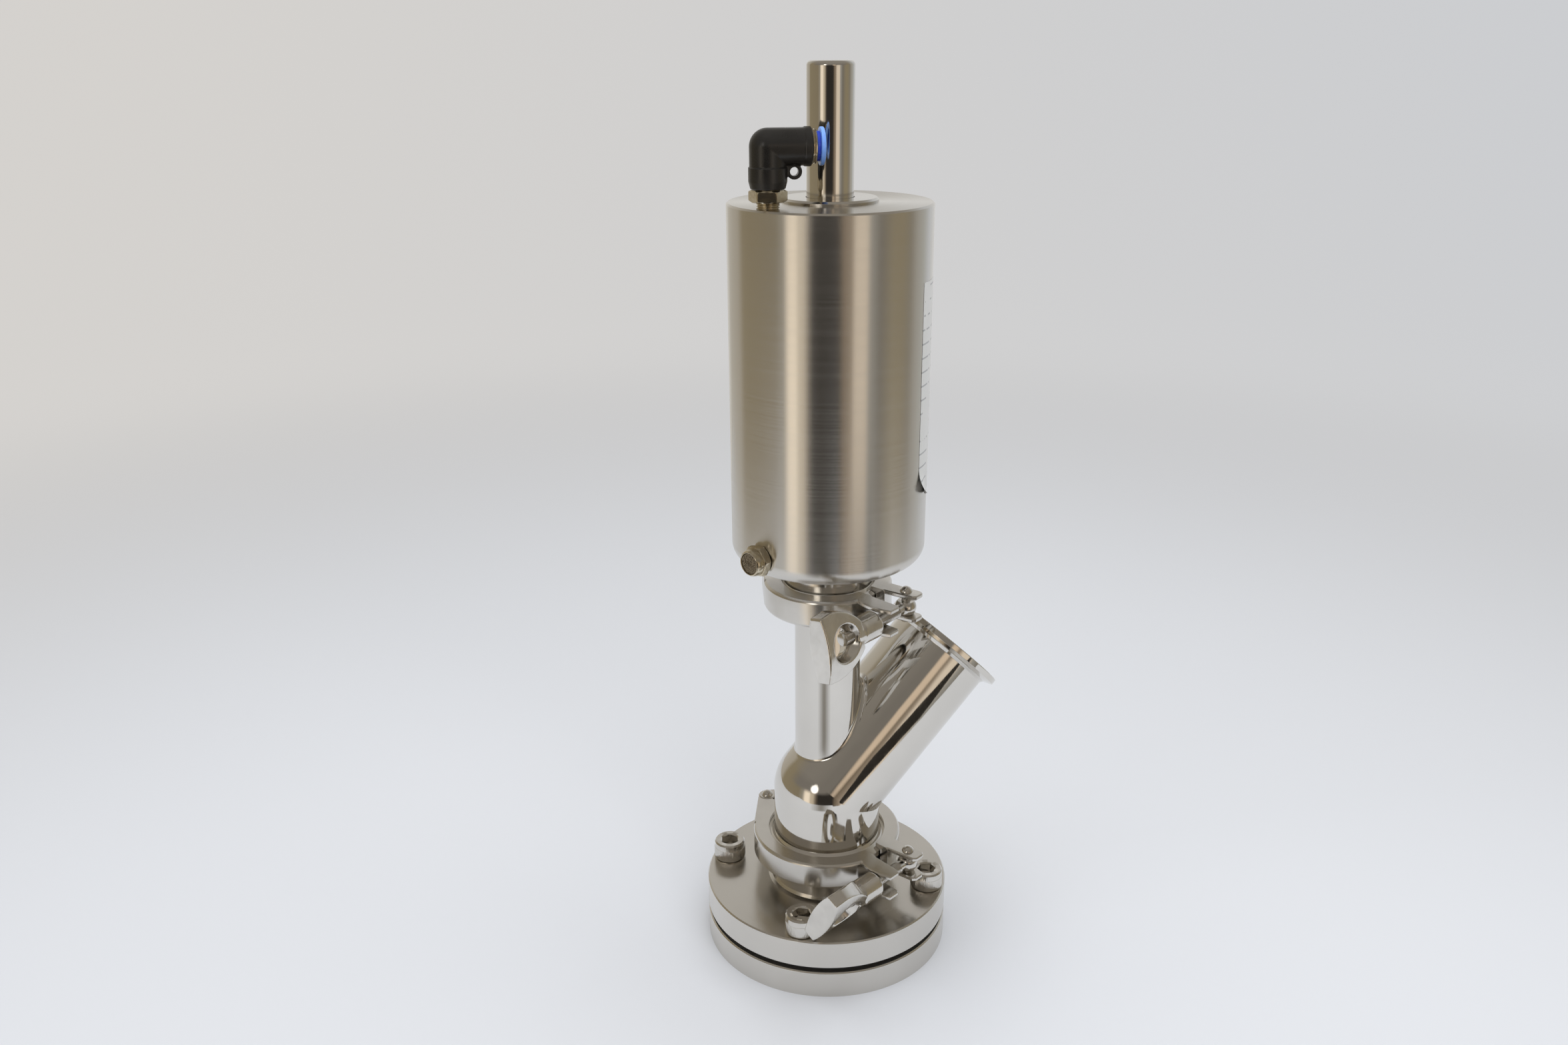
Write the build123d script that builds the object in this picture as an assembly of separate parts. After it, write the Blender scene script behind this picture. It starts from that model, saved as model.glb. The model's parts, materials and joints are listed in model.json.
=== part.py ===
"""Pneumatic tank-bottom valve: spring-return piston actuator, angled three-way body, two hinged
pipe clamps, bolted tank flange, push-in air elbow and breather.

Millimetres. The valve axis is Z and z = 0 is the underside of the tank flange. +X and +Y are
horizontal; azimuths are measured from +X towards +Y.
"""

from math import acos, cos, radians, sin, sqrt, tan
import os

from build123d import *

# --- flange stack -----------------------------------------------------------------------------
FLANGE_R = 60.8
PAD_H = 13.6
FLANGE_GASKET_H = 2.5
FLANGE_GASKET_R = 58.2
BODY_FLANGE_H = 14.7
FLANGE_NECK_R = 27.3
EDGE_CHAMFER = 0.6
SCREW_PCD = 103.8
SCREW_COUNT = 4
SCREW_AZ = -103.0
SCREW_R = 4.95
SCREW_CLEAR_R = 5.5
SCREW_HEAD_R = 8.0
SCREW_HEAD_H = 9.8
SCREW_KEY_AF = 8.0
SCREW_KEY_DEPTH = 5.0
SCREW_TIP_Z = 3.2
SCREW_EDGE = 0.4

# --- pipework (53 mm tube with 64 mm ferrules, 50.5 mm ferrules on the stem pipe) --------------
TUBE_R = 26.5
TUBE_BORE_R = 25.0
STEM_PIPE_R = 15.85
STEM_PIPE_BORE_R = 14.05
BEND_Z = 80.1
BRANCH_TILT = 45.0
BRANCH_AZ = 27.0
BRANCH_LENGTH = 95.0
BODY_BLEND_R = 3.0
OUTLET_FERRULE_LENGTH = 21.5
WELD_ROOT_W = 2.0
WELD_ROOT_D = 0.15
FERRULE_R = 32.0
SMALL_FERRULE_R = 25.25
FERRULE_RIM_H = 2.85
FERRULE_TAPER = 20.0
JOINT_GASKET_H = 1.6
LOWER_JOINT_Z = 50.95
UPPER_JOINT_Z = 186.8

# --- pipe clamps -------------------------------------------------------------------------------
CLAMP_H = 13.3
LOWER_CLAMP_R = 37.05
UPPER_CLAMP_R = 30.4
LOWER_LIP_R = 29.4
UPPER_LIP_R = 22.4
CLAMP_GROOVE_PLAY = 0.4
CLAMP_TAPER_PLAY = 0.1
CLAMP_EDGE_R = 1.0
LOWER_CLAMP_AZ = -42.0
UPPER_CLAMP_AZ = -38.3
EAR_REACH = 16.3
EAR_GAP_TIP = 6.2
EAR_GAP_ROOT = 4.4
EAR_OUT = 14.3
EAR_PLATE = 2.1
EAR_CORNER_R = 2.6
PLATE_EDGE = 0.45
HINGE_GAP = 1.0
HINGE_OUT = 5.25
HINGE_CLEAR = 0.4
KNUCKLE_R = 4.6
BOLT_PIN_OUT = 7.7
BOLT_PIN_SIDE = 10.3
PIN_R = 2.0
PIN_PLAY = 0.05
PIN_HEAD_R = 3.0
PIN_HEAD_H = 2.3
EYE_R = 5.0
EYE_HALF_H = 3.15
BOLT_R = 3.0
BOLT_NECK_R = 2.5
BOLT_LENGTH = 48.5
NUT_REACH = 25.5
NUT_PLAY = 0.3
NUT_BARREL_R = 6.5
NUT_BARREL_H = 14.5
NUT_NECK_R = 5.9
NUT_LENGTH = 38.5
WING_HALF_SPAN = 15.9
WING_HALF_THICK = 5.6
WING_TIP_THICK = 2.8
WINDOW_Z = 25.6
WINDOW_R = 6.2
WINDOW_MOUTH_R = 9.3
UPPER_WING_TILT = 10.0
LOWER_WING_TILT = -30.0
UPPER_BOLT_SAG = 1.3
LOWER_BOLT_SAG = 0.0

# --- actuator ----------------------------------------------------------------------------------
ACTUATOR_R = 45.1
BARREL_BORE_R = 41.0
ACTUATOR_BOTTOM_Z = 205.7
BARREL_BOTTOM_Z = 221.0
BARREL_TOP_Z = 354.9
ACTUATOR_TOP_Z = 368.9
BOTTOM_ROUND_R = 8.0
TOP_CHAMFER = 0.8
SPIGOT_H = 6.0
SPIGOT_PLAY = 0.05
SPIGOT_IN_R = 37.0
COVER_RING_R = 1.5
NECK_R = 21.0
GLAND_R = 21.1
GLAND_PROUD = 1.9
GLAND_CHAMFER = 0.9
GLAND_SCREW_R = 15.0
GLAND_BOTTOM_Z = 356.9
ROD_R = 10.3
ROD_TOP_Z = 426.5
ROD_EDGE_R = 2.0
ROD_CLEAR = 0.35
RUNNING_PLAY = 0.05
PISTON_H = 18.0
PISTON_TOP_Z = 348.4
PISTON_STUD_R = 6.0
STUD_TOP_Z = 372.0
STEM_R = 7.0
STEM_COLLAR_R = 10.0
STEM_COLLAR_H = 5.0
STEM_BUSH_R = 10.0
STEM_SEAL_R = 11.0
SPRING_R = 29.0
SPRING_WIRE_R = 3.0
SPRING_TURNS = 6.5
BELLOWS_R = 12.4
BELLOWS_IN_R = 8.6
BELLOWS_FOLDS = 14
BELLOWS_WALL = 0.8
BELLOWS_BOTTOM_Z = 106.0

# --- plug and seat -----------------------------------------------------------------------------
SEAT_TOP_Z = 8.0
SEAT_MOUTH_R = 29.5
PLUG_BOTTOM_Z = 0.4
PLUG_PLAY = 0.35
PLUG_HUB_R = 10.5
PLUG_TOP_Z = 24.0
PLUG_SEAL_Z = 4.2
PLUG_SEAL_R = 1.6
PLUG_SEAL_PROUD = 0.2

# --- air elbow and breather --------------------------------------------------------------------
PORT_AZ = -132.0
PORT_PITCH_R = 38.2
PORT_THREAD_R = 4.85
PORT_HEX_AF = 14.0
PORT_HEX_GAP = 2.9
PORT_HEX_H = 5.0
PORT_SPIGOT_R = 5.0
PORT_BORE_R = 3.0
ELBOW_LEG_R = 8.05
ELBOW_ARM_R = 7.6
ELBOW_RISE = 16.9
ELBOW_REACH = 17.9
ELBOW_AZ = 9.5
ELBOW_FOOT_GAP = 0.3
LUG_OUT = 10.8
LUG_DROP = 9.8
LUG_R = 3.2
LUG_HOLE_R = 1.8
LUG_T = 4.0
TUBE_POCKET_R = 5.1
TUBE_POCKET_IN = 5.5
SOCKET_R = 6.75
SOCKET_IN = 7.9
TUBE_SEAL_L = 2.6
TUBE_GRIP_IN = 10.7
TUBE_GRIP_L = 2.0
COLLAR_R = 7.0
COLLAR_BORE_R = 6.3
COLLAR_IN = 13.1
COLLAR_OUT = 19.8
COLLAR_GROOVE = 0.5
RELEASE_R = 7.7
RELEASE_BARREL_R = 6.0
RELEASE_IN = 14.5
RELEASE_OUT = 23.1
RELEASE_T = 1.8
AIR_TUBE_R = 5.05
VENT_Z = 215.6
VENT_HEX_AF = 13.0
VENT_HEX_H = 4.0
VENT_COLLAR_R = 6.3
VENT_LENGTH = 7.5
VENT_DISC_R = 4.9
VENT_RECESS = 2.2

# --- label -------------------------------------------------------------------------------------
LABEL_AZ = 5.5
LABEL_SWEEP = 65.0
LABEL_BOTTOM_Z = 241.0
LABEL_TOP_Z = 337.0
LABEL_T = 0.2
LABEL_LIFT = 0.02

GASKET_TOP_Z = PAD_H + FLANGE_GASKET_H
FLANGE_TOP_Z = GASKET_TOP_Z + BODY_FLANGE_H
UP = (Align.CENTER, Align.CENTER, Align.MIN)

os.makedirs("parts", exist_ok=True)


def save(name, shape):
    """Write one named sub-part."""
    export_step(shape, f"parts/{name}.step")


def rod(radius, low, high):
    """Solid cylinder on Z between two heights."""
    return Pos(0, 0, low) * Cylinder(radius, high - low, align=UP)


def ring(outer, inner, low, high):
    """Plain ring on Z between two heights."""
    return rod(outer, low, high) - rod(inner, low - 1, high + 1)


def turned(*points):
    """Solid turned about Z from (radius, height) corners."""
    return revolve(Plane.XZ * make_face(Polyline(*points, close=True)), Axis.Z)


def torus(major, minor, height):
    """Round-section ring at a height."""
    return Pos(0, 0, height) * Torus(major, minor)


def hexagon(across_flats, low, high, edge=0.8):
    """Hexagon prism with turned corners at both ends."""
    prism = Pos(0, 0, low) * extrude(RegularPolygon(across_flats / sqrt(3), 6), high - low)
    corner = across_flats / sqrt(3)
    drop = (corner - across_flats / 2) * edge
    flat = across_flats / 2
    envelope = turned(
        (0, low), (flat, low), (corner, low + drop), (corner, high - drop), (flat, high), (0, high)
    )
    return prism & envelope


def ferrule(rim, neck, bore, length):
    """Clamp ferrule with its sealing face on z = 0 and its neck pointing up."""
    taper_z = FERRULE_RIM_H + (rim - neck - 1.2) * tan(radians(FERRULE_TAPER))
    return turned(
        (bore, 0),
        (rim - 0.3, 0),
        (rim, 0.3),
        (rim, FERRULE_RIM_H),
        (neck + 1.2, taper_z),
        (neck, taper_z + 1.5),
        (neck, length),
        (bore, length),
    )


def at_azimuth(shape, azimuth):
    """Turn a shape about Z."""
    return Rot(0, 0, azimuth) * shape


# === flange stack ==============================================================================
def bolt_circle(shape):
    """Copies of a shape on the flange's bolt circle."""
    step = 360 / SCREW_COUNT
    return [
        Rot(0, 0, SCREW_AZ + step * i) * Pos(SCREW_PCD / 2, 0, 0) * shape for i in range(SCREW_COUNT)
    ]


def make_tank_pad():
    """Lower disc, welded into the tank wall, with the conical seat."""
    pad = turned(
        (TUBE_BORE_R, SEAT_TOP_Z),
        (SEAT_MOUTH_R, 0),
        (FLANGE_R, 0),
        (FLANGE_R, PAD_H - EDGE_CHAMFER),
        (FLANGE_R - EDGE_CHAMFER, PAD_H),
        (TUBE_BORE_R, PAD_H),
    )
    for hole in bolt_circle(rod(SCREW_R + RUNNING_PLAY, SCREW_TIP_Z - 0.4, PAD_H + 1)):
        pad -= hole
    return pad


def make_flange_gasket():
    """Flat gasket, a little smaller than the discs."""
    gasket = ring(FLANGE_GASKET_R, TUBE_BORE_R, PAD_H, GASKET_TOP_Z)
    for hole in bolt_circle(rod(SCREW_CLEAR_R, PAD_H - 1, GASKET_TOP_Z + 1)):
        gasket -= hole
    return gasket


def make_body_flange():
    """Upper disc with its neck and ferrule."""
    disc = turned(
        (TUBE_BORE_R, GASKET_TOP_Z),
        (FLANGE_R - EDGE_CHAMFER, GASKET_TOP_Z),
        (FLANGE_R, GASKET_TOP_Z + EDGE_CHAMFER),
        (FLANGE_R, FLANGE_TOP_Z - EDGE_CHAMFER),
        (FLANGE_R - EDGE_CHAMFER, FLANGE_TOP_Z),
        (FLANGE_NECK_R + 2.4, FLANGE_TOP_Z),
        (FLANGE_NECK_R + 0.7, FLANGE_TOP_Z + 0.7),
        (FLANGE_NECK_R, FLANGE_TOP_Z + 2.4),
        (FLANGE_NECK_R, FLANGE_TOP_Z + 8),
        (TUBE_BORE_R, FLANGE_TOP_Z + 8),
    )
    for hole in bolt_circle(rod(SCREW_CLEAR_R, GASKET_TOP_Z - 1, FLANGE_TOP_Z + 1)):
        disc -= hole
    face_z = LOWER_JOINT_Z - JOINT_GASKET_H / 2
    neck = ferrule(FERRULE_R, FLANGE_NECK_R, TUBE_BORE_R, face_z - FLANGE_TOP_Z - 4)
    return disc + Pos(0, 0, face_z) * Rot(180, 0, 0) * neck


def make_socket_screw():
    """Socket head cap screw standing on z = 0 at its head's seat."""
    head = turned(
        (0, 0),
        (SCREW_HEAD_R - SCREW_EDGE, 0),
        (SCREW_HEAD_R, SCREW_EDGE),
        (SCREW_HEAD_R, SCREW_HEAD_H - 1.2),
        (SCREW_HEAD_R - 0.4, SCREW_HEAD_H - 0.35),
        (SCREW_HEAD_R - 1.3, SCREW_HEAD_H),
        (0, SCREW_HEAD_H),
    )
    key = extrude(RegularPolygon(SCREW_KEY_AF / sqrt(3), 6), SCREW_KEY_DEPTH + 1)
    head -= Pos(0, 0, SCREW_HEAD_H - SCREW_KEY_DEPTH) * key
    shank_length = FLANGE_TOP_Z - SCREW_TIP_Z
    shank = turned(
        (0, -shank_length),
        (SCREW_R - 1, -shank_length),
        (SCREW_R, 1 - shank_length),
        (SCREW_R, 0),
        (0, 0),
    )
    return head + shank


def make_flange_screws():
    """Four socket screws as separate solids."""
    return Compound(children=bolt_circle(Pos(0, 0, FLANGE_TOP_Z) * make_socket_screw()))


save("tank_pad", make_tank_pad())
save("flange_gasket", make_flange_gasket())
save("body_flange", make_body_flange())
save("flange_screws", make_flange_screws())


# === valve body ================================================================================
def branch_frame():
    """Location at the bend's centre with its z axis along the branch."""
    return Pos(0, 0, BEND_Z) * Rot(0, 0, BRANCH_AZ) * Rot(0, BRANCH_TILT, 0)


def make_body_form(tube, stem_pipe, low, high, reach):
    """Run of tube, round corner, branch and stem pipe as one solid."""
    form = rod(tube, low, BEND_Z) + Pos(0, 0, BEND_Z) * Sphere(tube)
    form += branch_frame() * rod(tube, 0, reach)
    return form + rod(stem_pipe, BEND_Z, high)


def lies_on_stem_pipe(edge):
    """True for an edge whose ends and middle are at the stem pipe's radius."""
    points = [edge @ t for t in (0, 0.5, 1)]
    return all(abs(sqrt(p.X**2 + p.Y**2) - STEM_PIPE_R) < 0.02 for p in points)


def make_y_body():
    """Welded body: lower tube, rounded corner, branch, stem pipe and three ferrules."""
    low = LOWER_JOINT_Z + JOINT_GASKET_H / 2
    high = UPPER_JOINT_Z - JOINT_GASKET_H / 2
    form = make_body_form(TUBE_R, STEM_PIPE_R, low + 9, high - 7, BRANCH_LENGTH - 9)
    crotch = [edge for edge in form.edges() if edge.center().Z < high - 12 and lies_on_stem_pipe(edge)]
    form = fillet(crotch, BODY_BLEND_R)
    form += Pos(0, 0, low) * ferrule(FERRULE_R, TUBE_R, TUBE_BORE_R, 10)
    outlet = Pos(0, 0, BRANCH_LENGTH) * Rot(180, 0, 0) * ferrule(FERRULE_R, TUBE_R, TUBE_BORE_R, 10)
    form += branch_frame() * outlet
    form += Pos(0, 0, high) * Rot(180, 0, 0) * turned(
        (STEM_PIPE_BORE_R, 0),
        (SMALL_FERRULE_R, 0),
        (SMALL_FERRULE_R, FERRULE_RIM_H),
        (STEM_PIPE_R + 2.4, 5.5),
        (STEM_PIPE_R, 8),
        (STEM_PIPE_BORE_R, 8),
    )
    weld = BRANCH_LENGTH - OUTLET_FERRULE_LENGTH
    weld_root = ring(TUBE_BORE_R + WELD_ROOT_D, TUBE_BORE_R - 1, weld - WELD_ROOT_W, weld)
    form -= make_body_form(TUBE_BORE_R, STEM_PIPE_BORE_R, low - 1, high + 1, BRANCH_LENGTH + 1)
    return form - branch_frame() * weld_root


def make_joint_gasket(rim, bore, height):
    """Flat clamp gasket centred on a joint."""
    return ring(rim - 0.8, bore, height - JOINT_GASKET_H / 2, height + JOINT_GASKET_H / 2)


save("y_body", make_y_body())
save("lower_joint_gasket", make_joint_gasket(FERRULE_R, TUBE_BORE_R, LOWER_JOINT_Z))


# === pipe clamps ===============================================================================
def clamp_ring(outer, lip, rim):
    """Full clamp ring with its V groove, centred on z = 0."""
    half = CLAMP_H / 2
    groove = rim + CLAMP_GROOVE_PLAY
    slope = tan(radians(FERRULE_TAPER))
    face = JOINT_GASKET_H / 2 + FERRULE_RIM_H + CLAMP_TAPER_PLAY
    deep_z = face - CLAMP_GROOVE_PLAY * slope
    lip_z = face + (rim - lip) * slope
    return turned(
        (lip, lip_z),
        (groove, deep_z),
        (groove, -deep_z),
        (lip, -lip_z),
        (lip, -half),
        (outer - CLAMP_EDGE_R, -half),
        (outer - 0.3, CLAMP_EDGE_R * 0.7 - half),
        (outer, CLAMP_EDGE_R * 1.4 - half),
        (outer, half - CLAMP_EDGE_R * 1.4),
        (outer - 0.3, half - CLAMP_EDGE_R * 0.7),
        (outer - CLAMP_EDGE_R, half),
        (lip, half),
    )


def slab(outline, low, high):
    """Flat plate from an outline between two heights, with eased top and bottom edges."""
    plate = Pos(0, 0, low) * extrude(outline, high - low)
    levels = plate.faces().sort_by(Axis.Z)
    return chamfer(levels[-1].edges() + levels[0].edges(), PLATE_EDGE)


def front_ear_outline(outer):
    """Plan of the ear that the nut bears on: its outer edge is an arc about the bolt pin."""
    pin = (outer + BOLT_PIN_OUT, BOLT_PIN_SIDE)
    reach = NUT_REACH - NUT_PLAY
    tip_x = outer + EAR_REACH
    shoulder_x = outer - 3.0

    def on_arc(x):
        return (x, pin[1] - sqrt(reach**2 - (x - pin[0]) ** 2))

    outline = Line((outer - 4, -EAR_GAP_ROOT), (tip_x - 0.8, -EAR_GAP_TIP))
    outline += Line((tip_x - 0.8, -EAR_GAP_TIP), (tip_x, -EAR_GAP_TIP - 1.2))
    outline += Line((tip_x, -EAR_GAP_TIP - 1.2), on_arc(tip_x))
    outline += ThreePointArc(on_arc(tip_x), on_arc(pin[0]), on_arc(shoulder_x))
    outline += Line(on_arc(shoulder_x), (outer - 5, on_arc(shoulder_x)[1] + 1))
    outline += Line((outer - 5, on_arc(shoulder_x)[1] + 1), (outer - 4, -EAR_GAP_ROOT))
    return make_face(outline)


def back_ear_outline(outer):
    """Plan of the ear that holds the bolt pin."""
    tip_x = outer + EAR_REACH - 0.8
    face = make_face(
        Polyline(
            (outer - 4, EAR_GAP_ROOT),
            (tip_x - 1.4, EAR_GAP_TIP),
            (tip_x, EAR_GAP_TIP + 1.6),
            (tip_x, EAR_OUT),
            (outer - 4, EAR_OUT - 0.6),
            close=True,
        )
    )
    corner = face.vertices().sort_by_distance((tip_x, EAR_OUT, 0))[0]
    return fillet(corner, EAR_CORNER_R)


def hinge_arm_outline(outer, side):
    """Plan of a hinge arm: its outer side is the common tangent of the ring and the knuckle."""
    pin_x = -outer - HINGE_OUT
    lean = acos((outer - KNUCKLE_R) / (outer + HINGE_OUT))
    out_x, out_y = -cos(lean), side * sin(lean)
    inside = 0.92 * outer
    return make_face(
        Polyline(
            (pin_x + KNUCKLE_R * out_x, KNUCKLE_R * out_y),
            (outer * out_x, outer * out_y),
            (inside * out_x, inside * out_y),
            (2 - outer, side * HINGE_GAP),
            (pin_x, side * HINGE_GAP),
            close=True,
        )
    )


def add_hinge(body, outer, side):
    """Clamp half with its arm and knuckles: one middle knuckle on side -1, two outer ones on +1."""
    half = CLAMP_H / 2
    plate_z = half - EAR_PLATE
    middle = plate_z - PIN_PLAY
    at_pin = Pos(-outer - HINGE_OUT, 0, 0)
    arm = slab(hinge_arm_outline(outer, side), -half, half)
    knuckle = Circle(KNUCKLE_R)
    sweep = KNUCKLE_R + HINGE_CLEAR
    if side > 0:
        arm -= at_pin * rod(sweep, -plate_z, plate_z)
        body += arm + at_pin * slab(knuckle, plate_z, half) + at_pin * slab(knuckle, -half, -plate_z)
    else:
        arm -= at_pin * (rod(sweep, middle, half + 1) + rod(sweep, -half - 1, -middle))
        body += arm + at_pin * slab(knuckle, -middle, middle)
        body -= at_pin * (rod(sweep, middle, half + 1) + rod(sweep, -half - 1, -middle))
    return body


def make_clamp_half(outer, lip, rim, side):
    """Half clamp, hinge at -X and ears at +X; side -1 carries the nut, +1 the bolt pin."""
    half = CLAMP_H / 2
    wide = 3 * outer
    body = clamp_ring(outer, lip, rim)
    body -= Pos(0, -side * wide / 2, 0) * Box(2 * wide, wide, wide)
    body -= Pos(-wide / 2, 0, 0) * Box(wide, 2 * HINGE_GAP, wide)
    body -= Pos(wide / 2, 0, 0) * Box(wide, 2 * EAR_GAP_ROOT, wide)
    ear = back_ear_outline(outer) if side > 0 else front_ear_outline(outer)
    body += slab(ear, half - EAR_PLATE, half)
    body += slab(ear, -half, EAR_PLATE - half)
    body = add_hinge(body, outer, side)
    body -= rod(lip, -wide, wide) + ring(rim + CLAMP_GROOVE_PLAY, lip - 1, -2.5, 2.5)
    body -= Pos(-outer - HINGE_OUT, 0, 0) * rod(PIN_R + PIN_PLAY, -wide, wide)
    if side > 0:
        body -= Pos(outer + BOLT_PIN_OUT, BOLT_PIN_SIDE, 0) * rod(PIN_R + 0.02, -wide, wide)
    return body


def make_domed_pin():
    """Rivet pin with a domed head above and below the clamp."""
    half = CLAMP_H / 2
    dome_r = (PIN_HEAD_R**2 + PIN_HEAD_H**2) / (2 * PIN_HEAD_H)
    dome = Pos(0, 0, half + PIN_HEAD_H - dome_r) * Sphere(dome_r) & rod(PIN_HEAD_R, half, half + 4)
    return rod(PIN_R, -half, half) + dome + Rot(180, 0, 0) * dome


def make_eye_bolt():
    """Eye bolt, eye on the Z axis and shank along -Y."""
    eye = Sphere(EYE_R) & Box(4 * EYE_R, 4 * EYE_R, 2 * EYE_HALF_H)
    shank = turned(
        (0, 0),
        (BOLT_NECK_R, 0),
        (BOLT_NECK_R, 7),
        (BOLT_R, 8),
        (BOLT_R, BOLT_LENGTH - 0.8),
        (BOLT_R - 0.8, BOLT_LENGTH),
        (0, BOLT_LENGTH),
    )
    bolt = eye + Rot(90, 0, 0) * shank
    return bolt - rod(PIN_R + PIN_PLAY, -10, 10)


def make_wing_nut():
    """Wing nut standing on z = 0, wings along X, with a dished window along Y."""
    barrel = turned(
        (0, 0),
        (NUT_BARREL_R - 0.6, 0),
        (NUT_BARREL_R, 0.6),
        (NUT_BARREL_R - 0.2, NUT_BARREL_H - 2.6),
        (NUT_NECK_R, NUT_BARREL_H - 1.8),
        (NUT_NECK_R, NUT_BARREL_H + 3),
        (0, NUT_BARREL_H + 3),
    )
    root = (NUT_BARREL_R, NUT_BARREL_H - 0.8)
    cheek = (12.4, 20.5)
    shoulder = (WING_HALF_SPAN - 0.2, 31.0)
    tip = (WING_HALF_SPAN - 0.8, NUT_LENGTH)

    def side(sign):
        pts = [(sign * x, z) for x, z in (root, cheek, shoulder, tip)]
        return ThreePointArc(*pts[:3]) + Line(pts[2], pts[3])

    outline = side(1) + side(-1)
    outline += Line((-root[0], root[1]), root) + Line((-tip[0], tip[1]), tip)
    blade = extrude(Plane.XZ * make_face(outline), 3 * WING_HALF_THICK, both=True)
    wide = WING_HALF_SPAN + 0.2
    lens = ThreePointArc((-wide, WING_TIP_THICK), (0, WING_HALF_THICK), (wide, WING_TIP_THICK))
    lens += Line((wide, WING_TIP_THICK), (wide, -WING_TIP_THICK))
    lens += ThreePointArc((wide, -WING_TIP_THICK), (0, -WING_HALF_THICK), (-wide, -WING_TIP_THICK))
    lens += Line((-wide, -WING_TIP_THICK), (-wide, WING_TIP_THICK))
    wing = blade & extrude(make_face(lens), NUT_LENGTH + 5)
    wing = fillet(wing.faces().sort_by(Axis.Z)[-1].edges(), 0.6)
    nut = barrel + wing
    dish = Pos(0, 0, 0) * Cone(WINDOW_R, WINDOW_MOUTH_R, WING_HALF_THICK, align=UP)
    window = dish + Rot(180, 0, 0) * dish
    nut -= Pos(0, 0, WINDOW_Z) * Rot(90, 0, 0) * window
    return nut - rod(BOLT_R + PIN_PLAY, -1, WINDOW_Z)


def bolt_place(outer, height, azimuth):
    """Location of a clamp's bolt pin, x axis outwards along the ears."""
    return Pos(0, 0, height) * Rot(0, 0, azimuth) * Pos(outer + BOLT_PIN_OUT, BOLT_PIN_SIDE, 0)


def save_clamp(prefix, outer, lip, rim, height, azimuth, wing_tilt, sag):
    """Write the six pieces of one clamp; the bolt hangs lower than mid-height by the sag."""
    place = Pos(0, 0, height) * Rot(0, 0, azimuth)
    pin_at = bolt_place(outer, height, azimuth)
    bolt_at = Pos(0, 0, -sag) * pin_at
    save(f"{prefix}_clamp_front", place * make_clamp_half(outer, lip, rim, -1))
    save(f"{prefix}_clamp_back", place * make_clamp_half(outer, lip, rim, 1))
    save(f"{prefix}_clamp_hinge_pin", place * Pos(-outer - HINGE_OUT, 0, 0) * make_domed_pin())
    save(f"{prefix}_clamp_bolt_pin", pin_at * make_domed_pin())
    save(f"{prefix}_eye_bolt", bolt_at * make_eye_bolt())
    nut = Pos(0, -NUT_REACH, 0) * Rot(90, 0, 0) * Rot(0, 0, 90 + wing_tilt) * make_wing_nut()
    save(f"{prefix}_wing_nut", bolt_at * nut)


save_clamp(
    "lower",
    LOWER_CLAMP_R,
    LOWER_LIP_R,
    FERRULE_R,
    LOWER_JOINT_Z,
    LOWER_CLAMP_AZ,
    LOWER_WING_TILT,
    LOWER_BOLT_SAG,
)
save_clamp(
    "upper",
    UPPER_CLAMP_R,
    UPPER_LIP_R,
    SMALL_FERRULE_R,
    UPPER_JOINT_Z,
    UPPER_CLAMP_AZ,
    UPPER_WING_TILT,
    UPPER_BOLT_SAG,
)


# === actuator ==================================================================================
def port_frame():
    """Location of the air port's thread mouth on the top cover."""
    return Rot(0, 0, PORT_AZ) * Pos(PORT_PITCH_R, 0, ACTUATOR_TOP_Z) * Rot(0, 0, -PORT_AZ)


def vent_frame():
    """Location on the lower cover's wall with z pointing outwards."""
    return Pos(0, 0, VENT_Z) * Rot(0, 0, PORT_AZ) * Pos(ACTUATOR_R, 0, 0) * Rot(0, 90, 0)


def make_actuator_barrel():
    """Cylinder tube between the covers."""
    return ring(ACTUATOR_R, BARREL_BORE_R, BARREL_BOTTOM_Z, BARREL_TOP_Z)


def seal_groove(height):
    """Groove for a cover's sealing ring."""
    floor_r = BARREL_BORE_R - 2 * COVER_RING_R - 0.1
    return ring(BARREL_BORE_R, floor_r, height - COVER_RING_R, height + COVER_RING_R)


def make_top_cover():
    """Upper cover with the gland's thread, the air port and a spigot in the barrel."""
    cover = turned(
        (GLAND_SCREW_R + 0.02, BARREL_TOP_Z),
        (SPIGOT_IN_R, BARREL_TOP_Z),
        (SPIGOT_IN_R - 1.2, BARREL_TOP_Z - SPIGOT_H),
        (BARREL_BORE_R - SPIGOT_PLAY, BARREL_TOP_Z - SPIGOT_H),
        (BARREL_BORE_R - SPIGOT_PLAY, BARREL_TOP_Z),
        (ACTUATOR_R, BARREL_TOP_Z),
        (ACTUATOR_R, ACTUATOR_TOP_Z - TOP_CHAMFER),
        (ACTUATOR_R - TOP_CHAMFER, ACTUATOR_TOP_Z),
        (GLAND_SCREW_R + 0.02, ACTUATOR_TOP_Z),
    )
    cover -= seal_groove(BARREL_TOP_Z - SPIGOT_H / 2)
    cover -= port_frame() * rod(PORT_THREAD_R + 0.03, -8, 1)
    passage = Pos(PORT_PITCH_R - PORT_THREAD_R + 1.6, 0, BARREL_TOP_Z - 1) * rod(1.5, 0, 9)
    return cover - at_azimuth(passage, PORT_AZ)


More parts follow.
